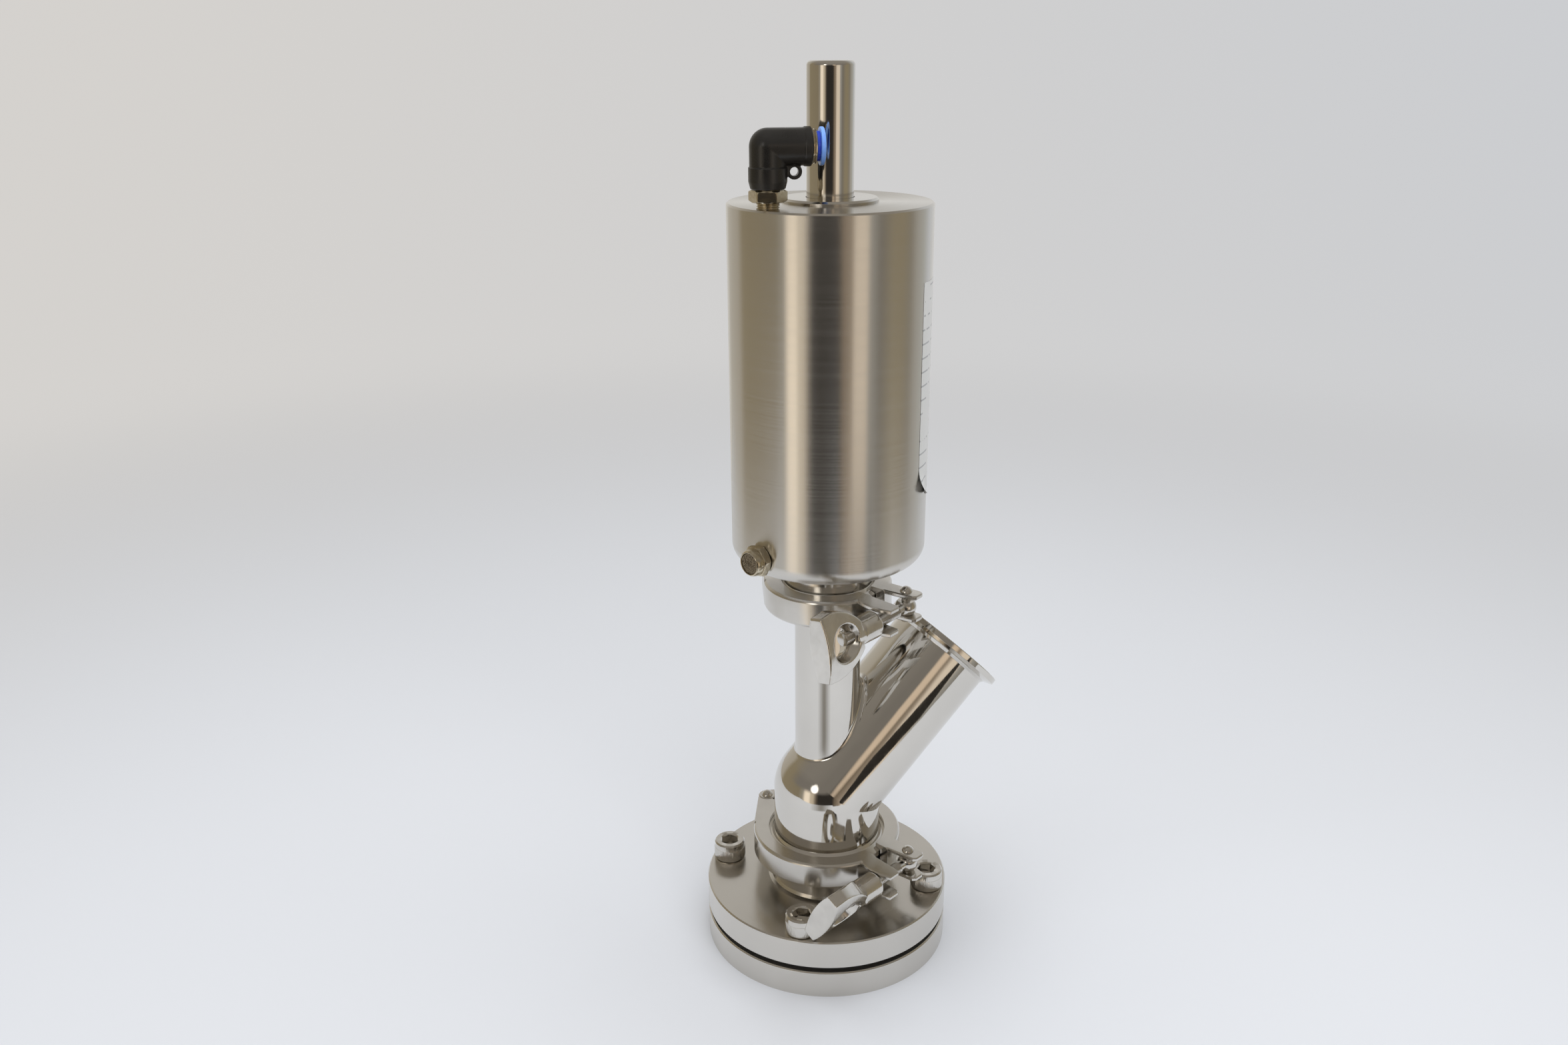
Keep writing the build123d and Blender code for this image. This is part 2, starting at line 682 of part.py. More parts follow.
def make_bottom_cover():
    """Lower cover with its rounded edge, the breather port and the neck's seat."""
    blank = rod(ACTUATOR_R, ACTUATOR_BOTTOM_Z, BARREL_BOTTOM_Z)
    blank = fillet(blank.edges().sort_by(Axis.Z)[0], BOTTOM_ROUND_R)
    blank += ring(BARREL_BORE_R - SPIGOT_PLAY, SPIGOT_IN_R, BARREL_BOTTOM_Z, BARREL_BOTTOM_Z + SPIGOT_H)
    blank -= seal_groove(BARREL_BOTTOM_Z + SPIGOT_H / 2)
    blank -= rod(NECK_R - 4 + 0.02, ACTUATOR_BOTTOM_Z - 1, BARREL_BOTTOM_Z + 1)
    blank -= vent_frame() * rod(PORT_THREAD_R + 0.03, -9, 1)
    blank -= vent_frame() * rod(1.5, -16, 0)
    passage = Pos(ACTUATOR_R - 15, 0, VENT_Z) * rod(1.5, 0, 9)
    return blank - at_azimuth(passage, PORT_AZ)


def make_cover_seals():
    """Sealing rings of the two covers."""
    rings = [
        torus(BARREL_BORE_R - COVER_RING_R - 0.06, COVER_RING_R - 0.04, height)
        for height in (BARREL_BOTTOM_Z + SPIGOT_H / 2, BARREL_TOP_Z - SPIGOT_H / 2)
    ]
    return Compound(children=rings)


def make_rod_gland():
    """Screwed gland with a low chamfered boss."""
    top = ACTUATOR_TOP_Z + GLAND_PROUD
    gland = turned(
        (ROD_R + ROD_CLEAR, GLAND_BOTTOM_Z),
        (GLAND_SCREW_R, GLAND_BOTTOM_Z),
        (GLAND_SCREW_R, ACTUATOR_TOP_Z),
        (GLAND_R, ACTUATOR_TOP_Z),
        (GLAND_R, top - GLAND_CHAMFER),
        (GLAND_R - GLAND_CHAMFER, top),
        (ROD_R + ROD_CLEAR, top),
    )
    gland -= ring(13.0, ROD_R, GLAND_BOTTOM_Z - 1, GLAND_BOTTOM_Z + 6)
    return gland - ring(12.8, ROD_R, GLAND_BOTTOM_Z + 7, GLAND_BOTTOM_Z + 10.5)


def make_piston():
    """Piston with a seal groove, a guide-ring groove and a recess for the spring."""
    low = PISTON_TOP_Z - PISTON_H
    piston = ring(BARREL_BORE_R - 0.4, PISTON_STUD_R + 0.02, low, PISTON_TOP_Z)
    piston -= ring(BARREL_BORE_R, BARREL_BORE_R - 5, PISTON_TOP_Z - 7.5, PISTON_TOP_Z - 3)
    return piston - ring(BARREL_BORE_R, BARREL_BORE_R - 2.5, low + 2.5, low + 7.5)


def make_indicator_rod():
    """Polished rod above the piston, with an eased top edge and a blind thread below."""
    bar = rod(ROD_R, PISTON_TOP_Z, ROD_TOP_Z)
    bar = fillet(bar.edges().sort_by(Axis.Z)[-1], ROD_EDGE_R)
    return bar - rod(PISTON_STUD_R + 0.02, PISTON_TOP_Z - 1, STUD_TOP_Z + 1)


def make_stem():
    """Stem from the plug's thread up through the piston."""
    shoulder = PISTON_TOP_Z - PISTON_H
    return turned(
        (0, 9.0),
        (STEM_R - 1, 9.0),
        (STEM_R, 10.0),
        (STEM_R, shoulder - STEM_COLLAR_H),
        (STEM_COLLAR_R, shoulder - STEM_COLLAR_H),
        (STEM_COLLAR_R, shoulder),
        (PISTON_STUD_R, shoulder),
        (PISTON_STUD_R, STUD_TOP_Z),
        (0, STUD_TOP_Z),
    )


def make_return_spring():
    """Open coil spring between the lower cover and the piston."""
    low = BARREL_BOTTOM_Z + SPRING_WIRE_R + 0.1
    high = PISTON_TOP_Z - PISTON_H - SPRING_WIRE_R - 0.1
    path = Helix((high - low) / SPRING_TURNS, high - low, SPRING_R)
    section = Plane(origin=path @ 0, z_dir=path % 0) * Circle(SPRING_WIRE_R)
    return Pos(0, 0, low) * sweep(section, path)


def make_actuator_neck():
    """Turned neck screwed into the lower cover, ending in the upper joint's ferrule."""
    face_z = UPPER_JOINT_Z + JOINT_GASKET_H / 2
    bore = STEM_R + ROD_CLEAR
    neck = Pos(0, 0, face_z) * ferrule(SMALL_FERRULE_R, NECK_R, bore, ACTUATOR_BOTTOM_Z - face_z)
    neck += ring(NECK_R - 4, bore, ACTUATOR_BOTTOM_Z, BARREL_BOTTOM_Z)
    neck -= rod(STEM_BUSH_R + 0.02, face_z + 9, BARREL_BOTTOM_Z + 1)
    return neck - rod(STEM_SEAL_R + 0.02, face_z + 3, face_z + 8)


def make_stem_bellows():
    """Convoluted stem diaphragm; its rim is the upper joint's gasket, its foot grips the stem."""
    top = UPPER_JOINT_Z + JOINT_GASKET_H / 2
    rim_low = UPPER_JOINT_Z - JOINT_GASKET_H / 2
    foot_top = BELLOWS_BOTTOM_Z + 5
    fold = (rim_low - 2 - foot_top) / BELLOWS_FOLDS
    outside = []
    inside = []
    for i in range(BELLOWS_FOLDS):
        z = rim_low - 2 - i * fold
        outside += [(BELLOWS_IN_R + BELLOWS_WALL, z), (BELLOWS_R, z - fold / 2)]
        inside += [(BELLOWS_IN_R, z), (BELLOWS_R - BELLOWS_WALL, z - fold / 2)]
    return turned(
        (BELLOWS_IN_R, top),
        (SMALL_FERRULE_R - 0.8, top),
        (SMALL_FERRULE_R - 0.8, rim_low),
        (STEM_PIPE_BORE_R - 0.6, rim_low),
        *outside,
        (BELLOWS_IN_R + BELLOWS_WALL, foot_top),
        (BELLOWS_IN_R + BELLOWS_WALL, BELLOWS_BOTTOM_Z),
        (STEM_R + RUNNING_PLAY, BELLOWS_BOTTOM_Z),
        (STEM_R + RUNNING_PLAY, foot_top),
        *reversed(inside),
    )


SEAT_SLOPE = (SEAT_MOUTH_R - TUBE_BORE_R) / SEAT_TOP_Z


def seat_radius(height):
    """Radius of the conical seat at a height."""
    return TUBE_BORE_R + (SEAT_TOP_Z - height) * SEAT_SLOPE


def plug_seal_ring(radius):
    """Round ring on the plug's cone, standing proud by PLUG_SEAL_PROUD."""
    normal_r = cos(radians(29.4))
    centre = seat_radius(PLUG_SEAL_Z) - PLUG_PLAY - (PLUG_SEAL_R - PLUG_SEAL_PROUD) / normal_r
    return torus(centre, radius, PLUG_SEAL_Z)


def make_plug():
    """Valve plug that closes the seat from the tank side."""
    plug = turned(
        (0, PLUG_BOTTOM_Z),
        (seat_radius(PLUG_BOTTOM_Z) - PLUG_PLAY, PLUG_BOTTOM_Z),
        (seat_radius(SEAT_TOP_Z) - PLUG_PLAY, SEAT_TOP_Z),
        (seat_radius(SEAT_TOP_Z) - PLUG_PLAY - 1, SEAT_TOP_Z + 1.5),
        (PLUG_HUB_R + 1.5, SEAT_TOP_Z + 4),
        (PLUG_HUB_R, SEAT_TOP_Z + 6),
        (PLUG_HUB_R, PLUG_TOP_Z - 1),
        (PLUG_HUB_R - 1, PLUG_TOP_Z),
        (0, PLUG_TOP_Z),
    )
    return plug - rod(STEM_R + 0.02, 8.8, PLUG_TOP_Z + 1) - plug_seal_ring(PLUG_SEAL_R + 0.03)


PISTON_LOW_Z = PISTON_TOP_Z - PISTON_H
PISTON_RING_R = BARREL_BORE_R - RUNNING_PLAY
GUIDE_RING = ring(PISTON_RING_R, BARREL_BORE_R - 2.45, PISTON_LOW_Z + 2.55, PISTON_LOW_Z + 7.45)
PISTON_SEAL = ring(PISTON_RING_R, BARREL_BORE_R - 4.95, PISTON_TOP_Z - 7.45, PISTON_TOP_Z - 3.05)
ROD_BUSH = ring(12.97, ROD_R + RUNNING_PLAY, GLAND_BOTTOM_Z + 0.3, GLAND_BOTTOM_Z + 5.97)
ROD_SEAL = ring(12.77, ROD_R + RUNNING_PLAY, GLAND_BOTTOM_Z + 7.05, GLAND_BOTTOM_Z + 10.45)
NECK_FACE_Z = UPPER_JOINT_Z + JOINT_GASKET_H / 2
STEM_BUSH = ring(STEM_BUSH_R, STEM_R + RUNNING_PLAY, NECK_FACE_Z + 9.05, BARREL_BOTTOM_Z - 1)
STEM_SEAL = ring(STEM_SEAL_R, STEM_R + RUNNING_PLAY, NECK_FACE_Z + 3.05, NECK_FACE_Z + 7.95)

save("actuator_barrel", make_actuator_barrel())
save("top_cover", make_top_cover())
save("bottom_cover", make_bottom_cover())
save("cover_seals", make_cover_seals())
save("rod_gland", make_rod_gland())
save("rod_bush", ROD_BUSH)
save("rod_seal", ROD_SEAL)
save("indicator_rod", make_indicator_rod())
save("piston", make_piston())
save("piston_seal", PISTON_SEAL)
save("piston_guide_ring", GUIDE_RING)
save("stem", make_stem())
save("return_spring", make_return_spring())
save("actuator_neck", make_actuator_neck())
save("stem_bush", STEM_BUSH)
save("stem_seal", STEM_SEAL)
save("stem_bellows", make_stem_bellows())
save("plug", make_plug())
save("plug_seal", plug_seal_ring(PLUG_SEAL_R))


# === air elbow =================================================================================
HEX_TOP = PORT_HEX_GAP + PORT_HEX_H
ARM_Z = HEX_TOP + ELBOW_RISE


def arm_frame():
    """Location at the elbow's corner with z along the arm."""
    return port_frame() * Pos(0, 0, ARM_Z) * Rot(0, 0, ELBOW_AZ) * Rot(0, 90, 0)


def make_port_adapter():
    """Hexagon nipple screwed into the top cover."""
    body = rod(PORT_THREAD_R, -7.5, PORT_HEX_GAP) + hexagon(PORT_HEX_AF, PORT_HEX_GAP, HEX_TOP)
    body += rod(PORT_SPIGOT_R, HEX_TOP, HEX_TOP + 9)
    return port_frame() * (body - rod(PORT_BORE_R, -8, HEX_TOP + 10))


def make_port_elbow():
    """Moulded elbow with a mounting eye in its corner."""
    foot = HEX_TOP + ELBOW_FOOT_GAP
    leg = turned(
        (0, foot),
        (ELBOW_LEG_R - 0.75, foot),
        (ELBOW_LEG_R, foot + 3),
        (ELBOW_LEG_R, ARM_Z - 8),
        (0, ARM_Z - 8),
    )
    leg += rod(ELBOW_ARM_R, ARM_Z - 8.5, ARM_Z)
    arm = rod(ELBOW_ARM_R, 0, ELBOW_REACH)
    arm = chamfer(arm.edges().sort_by(Axis.Z)[-1], 0.5)
    elbow = leg + Pos(0, 0, ARM_Z) * (Sphere(ELBOW_ARM_R) + Rot(0, 90, 0) * arm)
    lug = Pos(LUG_OUT, 0, ARM_Z - LUG_DROP) * Rot(90, 0, 0) * Cylinder(LUG_R, LUG_T)
    web = Pos(LUG_OUT - 2.6, 0, ARM_Z - LUG_DROP + 2.2) * Box(5.2, LUG_T, 6)
    elbow += lug + web
    elbow -= Pos(LUG_OUT, 0, ARM_Z - LUG_DROP) * Rot(90, 0, 0) * Cylinder(LUG_HOLE_R, 2 * LUG_T)
    elbow -= rod(PORT_SPIGOT_R + RUNNING_PLAY, foot - 1, HEX_TOP + 9.4) + rod(PORT_BORE_R, foot, ARM_Z)
    pocket = rod(PORT_BORE_R, 0, SOCKET_IN) + rod(TUBE_POCKET_R, TUBE_POCKET_IN, SOCKET_IN)
    pocket += rod(SOCKET_R, SOCKET_IN, ELBOW_REACH + 1)
    elbow -= Pos(0, 0, ARM_Z) * Rot(0, 90, 0) * pocket
    return port_frame() * Rot(0, 0, ELBOW_AZ) * elbow


def make_port_collar():
    """Nickel-plated collar pressed into the elbow's mouth, with a groove outside."""
    groove_r = COLLAR_R - COLLAR_GROOVE
    return turned(
        (COLLAR_BORE_R, COLLAR_IN),
        (SOCKET_R - 0.02, COLLAR_IN),
        (SOCKET_R - 0.02, ELBOW_REACH),
        (COLLAR_R, ELBOW_REACH),
        (COLLAR_R, ELBOW_REACH + 0.6),
        (groove_r, ELBOW_REACH + 0.8),
        (groove_r, ELBOW_REACH + 1.1),
        (COLLAR_R, ELBOW_REACH + 1.3),
        (COLLAR_R, COLLAR_OUT - 0.3),
        (COLLAR_R - 0.3, COLLAR_OUT),
        (COLLAR_BORE_R, COLLAR_OUT),
    )


def make_release_ring():
    """Push-to-release ring with a flange."""
    inner = RELEASE_OUT - RELEASE_T
    return turned(
        (AIR_TUBE_R, RELEASE_IN),
        (RELEASE_BARREL_R, RELEASE_IN),
        (RELEASE_BARREL_R, inner),
        (RELEASE_R - 0.3, inner),
        (RELEASE_R, inner + 0.3),
        (RELEASE_R, RELEASE_OUT - 0.4),
        (RELEASE_R - 0.4, RELEASE_OUT),
        (AIR_TUBE_R + 0.5, RELEASE_OUT),
        (AIR_TUBE_R, RELEASE_OUT - 0.5),
    )


save("port_adapter", make_port_adapter())
save("port_elbow", make_port_elbow())
save("port_collar", arm_frame() * make_port_collar())
save("release_ring", arm_frame() * make_release_ring())
TUBE_SEAL = ring(SOCKET_R - 0.05, TUBE_POCKET_R + 0.05, SOCKET_IN, SOCKET_IN + TUBE_SEAL_L)
TUBE_GRIP = ring(SOCKET_R - 0.15, TUBE_POCKET_R + 0.1, TUBE_GRIP_IN, TUBE_GRIP_IN + TUBE_GRIP_L)
save("tube_seal", arm_frame() * TUBE_SEAL)
save("tube_grip", arm_frame() * TUBE_GRIP)


# === breather and label ========================================================================
def make_vent_body():
    """Hexagon breather with a domed collar and a recess for the sintered disc."""
    collar = turned(
        (0, VENT_HEX_H),
        (VENT_COLLAR_R, VENT_HEX_H),
        (VENT_COLLAR_R, VENT_HEX_H + 1.4),
        (VENT_COLLAR_R - 0.5, VENT_LENGTH - 1.2),
        (VENT_DISC_R + 0.4, VENT_LENGTH),
        (0, VENT_LENGTH),
    )
    body = hexagon(VENT_HEX_AF, 0.1, VENT_HEX_H) + collar + rod(PORT_THREAD_R, -8, 0.2)
    body -= rod(VENT_DISC_R, VENT_LENGTH - VENT_RECESS, VENT_LENGTH + 1)
    return vent_frame() * (body - rod(2.5, -9, VENT_LENGTH))


def make_label():
    """Blank adhesive label on the barrel's side."""
    inner = ACTUATOR_R + LABEL_LIFT
    section = Plane.XZ * make_face(
        Polyline(
            (inner, LABEL_BOTTOM_Z),
            (inner + LABEL_T, LABEL_BOTTOM_Z),
            (inner + LABEL_T, LABEL_TOP_Z),
            (inner, LABEL_TOP_Z),
            close=True,
        )
    )
    return at_azimuth(revolve(section, Axis.Z, LABEL_SWEEP), LABEL_AZ - LABEL_SWEEP / 2)


save("vent_body", make_vent_body())
VENT_DISC = rod(VENT_DISC_R - 0.05, VENT_LENGTH - VENT_RECESS, VENT_LENGTH - 0.3)
save("vent_disc", vent_frame() * VENT_DISC)
save("side_label", make_label())
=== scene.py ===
"""Looks of a pneumatic tank-bottom valve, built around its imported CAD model.

Metres and radians. The valve stands on z = 0 with its axis on Z, and the camera is on the -Y side.
"""

import json
import math

import bmesh
import bpy
import numpy as np
from mathutils import Matrix, Vector

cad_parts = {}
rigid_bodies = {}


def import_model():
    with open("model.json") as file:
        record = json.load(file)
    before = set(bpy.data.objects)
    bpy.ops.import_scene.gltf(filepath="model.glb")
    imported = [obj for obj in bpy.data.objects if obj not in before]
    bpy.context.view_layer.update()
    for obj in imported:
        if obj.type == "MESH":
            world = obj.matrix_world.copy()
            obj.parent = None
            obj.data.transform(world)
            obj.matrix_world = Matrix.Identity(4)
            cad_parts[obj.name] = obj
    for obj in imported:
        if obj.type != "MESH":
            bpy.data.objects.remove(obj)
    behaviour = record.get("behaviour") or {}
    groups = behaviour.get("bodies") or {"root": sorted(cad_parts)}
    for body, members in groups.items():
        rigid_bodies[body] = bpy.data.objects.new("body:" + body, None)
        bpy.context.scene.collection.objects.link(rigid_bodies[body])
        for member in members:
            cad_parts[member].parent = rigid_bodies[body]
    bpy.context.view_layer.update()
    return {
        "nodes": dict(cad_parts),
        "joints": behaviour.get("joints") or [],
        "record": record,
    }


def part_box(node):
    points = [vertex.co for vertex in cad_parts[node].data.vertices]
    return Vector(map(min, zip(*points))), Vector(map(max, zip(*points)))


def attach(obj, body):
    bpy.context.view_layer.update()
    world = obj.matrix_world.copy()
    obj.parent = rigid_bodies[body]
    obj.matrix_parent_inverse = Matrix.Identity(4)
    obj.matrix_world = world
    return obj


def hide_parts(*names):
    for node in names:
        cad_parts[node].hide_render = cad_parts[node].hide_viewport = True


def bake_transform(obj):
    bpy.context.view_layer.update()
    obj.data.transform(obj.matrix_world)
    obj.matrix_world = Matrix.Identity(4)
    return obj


for default_object in list(bpy.data.objects):
    bpy.data.objects.remove(default_object)
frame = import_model()
NODES = frame["nodes"]
JOINTS = {joint["name"]: joint for joint in frame["joints"]}
MM = 0.001

# --- sizes that the pieces share ----------------------------------------------------------------
BOLT_R = 3.0 * MM
BOLT_PITCH = 1.0 * MM
BOLT_LENGTH = 48.5 * MM
EYE_R = 5.0 * MM
EYE_HOLE_R = 2.05 * MM
EYE_HALF_H = 3.15 * MM
SCREW_HEAD_R = 8.0 * MM
SCREW_HEAD_H = 9.8 * MM
SCREW_KEY_AF = 8.0 * MM
SCREW_COUNT = 4
SCREW_CIRCLE_R = 51.9 * MM
SCREW_AZ = math.radians(-103.0)
PORT_THREAD_R = 4.85 * MM
PORT_PITCH = 0.907 * MM

# --- light and camera ---------------------------------------------------------------------------
# Fitted by a scratch program to points picked by hand in the photograph.
CAMERA_BACK = 0.5947
CAMERA_HEIGHT = 0.4367
CAMERA_YAW = math.radians(-2.0)
CAMERA_PITCH = math.radians(19.91)
CAMERA_ROLL = math.radians(-0.35)
CAMERA_LENS = 30.96
FLOOR_COLOUR = (0.73, 0.765, 0.83)
BACKDROP_COLOUR = (0.66, 0.64, 0.615)
BACKDROP_COOL = (0.6, 0.61, 0.63)

STEEL = (0.69, 0.665, 0.62)
NICKEL = (0.63, 0.57, 0.45)


# === node materials =============================================================================
def add_node(tree, kind, inputs=(), **settings):
    """A new node; inputs maps a socket's name or number to a value or to another socket."""
    made = tree.nodes.new(kind)
    for key, value in settings.items():
        setattr(made, key, value)
    for key, value in dict(inputs).items():
        if isinstance(value, bpy.types.NodeSocket):
            tree.links.new(value, made.inputs[key])
        else:
            made.inputs[key].default_value = value
    return made


class Shader:
    """A Principled material and the few node helpers that the materials below share."""

    def __init__(self, name, colour, roughness, metallic=0.0, **sockets):
        self.material = bpy.data.materials.new(name)
        self.material.use_nodes = True
        self.tree = self.material.node_tree
        self.surface = self.tree.nodes["Principled BSDF"]
        self.surface.inputs["Base Color"].default_value = (*colour, 1)
        self.surface.inputs["Roughness"].default_value = roughness
        self.surface.inputs["Metallic"].default_value = metallic
        for socket, value in sockets.items():
            self.surface.inputs[socket.replace("_", " ")].default_value = value
        self.colour = colour
        self.roughness = roughness

    def node(self, kind, inputs=(), **settings):
        """A new node in this material."""
        return add_node(self.tree, kind, inputs, **settings)

    def math(self, operation, a, b=0.0):
        """One maths node's result."""
        return self.node("ShaderNodeMath", {0: a, 1: b}, operation=operation).outputs[0]

    def position(self):
        """Object coordinates, which are the shared frame's for every piece."""
        return self.node("ShaderNodeTexCoord").outputs["Object"]

    def stretched(self, scale):
        """Object coordinates with its own scale on each axis."""
        return self.node("ShaderNodeMapping", {"Vector": self.position(), "Scale": scale}).outputs[0]

    def split_position(self):
        """Sockets of the x, y and z coordinates."""
        return self.node("ShaderNodeSeparateXYZ", {0: self.position()}).outputs

    def distance(self, x, y):
        """Distance from the valve axis."""
        squares = self.math("MULTIPLY", x, x), self.math("MULTIPLY", y, y)
        return self.math("SQRT", self.math("ADD", *squares))

    def turned(self, along, across):
        """Coordinates that change slowly around the valve axis and quickly across the tool marks."""
        x, y, z = self.split_position()
        mark = self.math("MULTIPLY", self.math("ADD", self.distance(x, y), z), across)
        turned = {0: self.math("MULTIPLY", x, along), 1: self.math("MULTIPLY", y, along), 2: mark}
        return self.node("ShaderNodeCombineXYZ", turned).outputs[0]

    def noise(self, vector, scale=1.0, detail=4.0, roughness=0.55):
        """Fractal noise between 0 and 1."""
        inputs = {"Vector": vector, "Scale": scale, "Detail": detail, "Roughness": roughness}
        return self.node("ShaderNodeTexNoise", inputs).outputs["Fac"]

    def spread(self, value, low, high, start=0.3, end=0.7):
        """A noise value mapped to a range."""
        inputs = {0: value, 1: start, 2: end, 3: low, 4: high}
        return self.node("ShaderNodeMapRange", inputs).outputs[0]

    def vary_roughness(self, value, amount):
        """Roughness that follows a noise value by plus or minus an amount."""
        varied = self.spread(value, self.roughness - amount, self.roughness + amount)
        self.tree.links.new(varied, self.surface.inputs["Roughness"])

    def vary_colour(self, value, other, start=0.35, end=0.65):
        """Base colour that drifts to another colour where a noise value is high."""
        mix = self.node("ShaderNodeMix", data_type="RGBA")
        self.tree.links.new(self.spread(value, 0, 1, start, end), mix.inputs["Factor"])
        mix.inputs["A"].default_value = (*self.colour, 1)
        mix.inputs["B"].default_value = (*other, 1)
        self.tree.links.new(mix.outputs["Result"], self.surface.inputs["Base Color"])

    def relief(self, layers, edge=0.0):
        """Normal from a rounded edge of the given radius and a stack of (value, depth) bumps."""
        normal = None
        if edge:
            normal = self.node("ShaderNodeBevel", {"Radius": edge}, samples=6).outputs[0]
        for value, depth in layers:
            bump = self.node("ShaderNodeBump", {"Height": value, "Distance": depth, "Strength": 1.0})
            if normal:
                self.tree.links.new(normal, bump.inputs["Normal"])
            normal = bump.outputs[0]
        self.tree.links.new(normal, self.surface.inputs["Normal"])

    def brush_direction(self, amount):
        """Reflections drawn out across the marks that run around the valve axis."""
        tangent = self.node("ShaderNodeTangent", direction_type="RADIAL", axis="Z").outputs[0]
        self.tree.links.new(tangent, self.surface.inputs["Tangent"])
        self.surface.inputs["Anisotropic"].default_value = amount
        self.surface.inputs["Anisotropic Rotation"].default_value = 0.25


def lighter(colour, factor):
    """A colour scaled towards or away from black."""
    return tuple(min(1.0, c * factor) for c in colour)


def brushed_steel(name, roughness=0.24, marks=1900.0, depth=0.0011 * MM, anisotropy=0.94, edge=0.0):
    """Stainless steel brushed or turned around the valve axis."""
    shader = Shader(name, STEEL, roughness, 1.0)
    lines = shader.noise(shader.turned(9.0, marks), detail=5.0, roughness=0.6)
    broad = shader.noise(shader.stretched((14, 14, 5)), detail=3.0)
    shader.vary_roughness(lines, 0.03)
    shader.vary_colour(broad, lighter(STEEL, 0.94))
    shader.relief([(lines, depth)], edge)
    shader.brush_direction(anisotropy)
    return shader.material


def polished_steel(name, roughness=0.07, wave=0.07 * MM, edge=0.3 * MM):
    """Hand-polished stainless steel: a mirror with slow waves and faint buffing haze."""
    shader = Shader(name, lighter(STEEL, 1.04), roughness, 1.0)
    waves = shader.noise(shader.stretched((55, 55, 55)), detail=1.0)
    ripple = shader.noise(shader.stretched((170, 170, 170)), detail=1.0)
    haze = shader.noise(shader.stretched((260, 260, 60)), detail=6.0, roughness=0.7)
    shader.vary_roughness(haze, 0.035)
    shader.vary_colour(shader.noise(shader.stretched((20, 20, 20))), lighter(STEEL, 0.97))
    shader.relief([(waves, wave), (ripple, 0.08 * wave), (haze, 0.0012 * MM)], edge)
    return shader.material


def blasted_steel(name, roughness=0.2, grain=0.003 * MM, edge=0.3 * MM):
    """Fine blasted and lightly polished steel."""
    shader = Shader(name, lighter(STEEL, 0.97), roughness, 1.0)
    pits = shader.noise(shader.stretched((2600, 2600, 2600)), detail=3.0)
    patches = shader.noise(shader.stretched((70, 70, 70)), detail=5.0)
    shader.vary_roughness(patches, 0.05)
    shader.vary_colour(patches, lighter(STEEL, 0.93))
    shader.relief([(pits, grain), (patches, 0.008 * MM)], edge)
    return shader.material


def cast_steel(name):
    """Tumbled investment casting: bright, softly uneven."""
    shader = Shader(name, lighter(STEEL, 1.06), 0.16, 1.0)
    skin = shader.noise(shader.stretched((420, 420, 420)), detail=5.0)
    dents = shader.noise(shader.stretched((120, 120, 120)), detail=2.0)
    shader.vary_roughness(skin, 0.06)
    shader.vary_colour(dents, lighter(STEEL, 0.95))
    shader.relief([(dents, 0.09 * MM), (skin, 0.006 * MM)])
    return shader.material


def plated_brass(name):
    """Nickel-plated brass with a warm cast and light wear."""
    shader = Shader(name, NICKEL, 0.2, 1.0)
    wear = shader.noise(shader.stretched((500, 500, 500)), detail=5.0)
    shader.vary_roughness(wear, 0.06)
    shader.vary_colour(wear, (0.52, 0.45, 0.32))
    shader.relief([(wear, 0.004 * MM)], 0.2 * MM)
    return shader.material


def sintered_bronze(name):
    """Open-grained sintered metal, with painted shade in the hollows between the grains."""
    shader = Shader(name, (0.42, 0.36, 0.27), 0.55, 1.0)
    cells = shader.node("ShaderNodeTexVoronoi", {"Vector": shader.position(), "Scale": 2100.0})
    pore_depth = cells.outputs["Distance"]
    # Darker where the pores are deepest: painted shade.
    shader.vary_colour(pore_depth, (0.12, 0.1, 0.075), 0.35, 0.75)
    shader.relief([(pore_depth, -0.16 * MM)])
    return shader.material


def moulded_plastic(name, colour, roughness=0.36, grain=0.012 * MM, **sockets):
    """Moulded plastic with a fine texture and slight sheen differences."""
    shader = Shader(name, colour, roughness, **sockets)
    texture = shader.noise(shader.stretched((1500, 1500, 1500)), detail=3.0)
    flow = shader.noise(shader.stretched((90, 90, 90)), detail=3.0)
    shader.vary_roughness(flow, 0.07)
    shader.vary_colour(flow, lighter(colour, 1.25))
    shader.relief([(texture, grain)], 0.25 * MM)
    return shader.material


def spring_wire(name):
    """Drawn wire with a dark, oiled skin."""
    shader = Shader(name, (0.34, 0.33, 0.31), 0.38, 1.0)
    scale = shader.noise(shader.stretched((700, 700, 700)), detail=5.0)
    shader.vary_roughness(scale, 0.1)
    shader.vary_colour(scale, (0.2, 0.19, 0.18))
    shader.relief([(scale, 0.01 * MM)])
    return shader.material


def label_film(name):
    """Pale adhesive film with a faint ruled form and no lettering."""
    shader = Shader(name, (0.78, 0.81, 0.84), 0.32)
    height = shader.split_position()[2]
    phase = shader.math("FRACT", shader.math("MULTIPLY", height, 1 / (6.2 * MM)))
    rule = shader.math("LESS_THAN", phase, 0.12)
    broken = shader.noise(shader.stretched((160, 160, 30)), detail=1.0)
    ink = shader.math("MULTIPLY", rule, shader.spread(broken, 0, 1, 0.46, 0.5))
    shader.vary_colour(ink, (0.45, 0.48, 0.52), 0.4, 0.6)
    shader.relief([(shader.noise(shader.stretched((900, 900, 900))), 0.006 * MM)])
    return shader.material


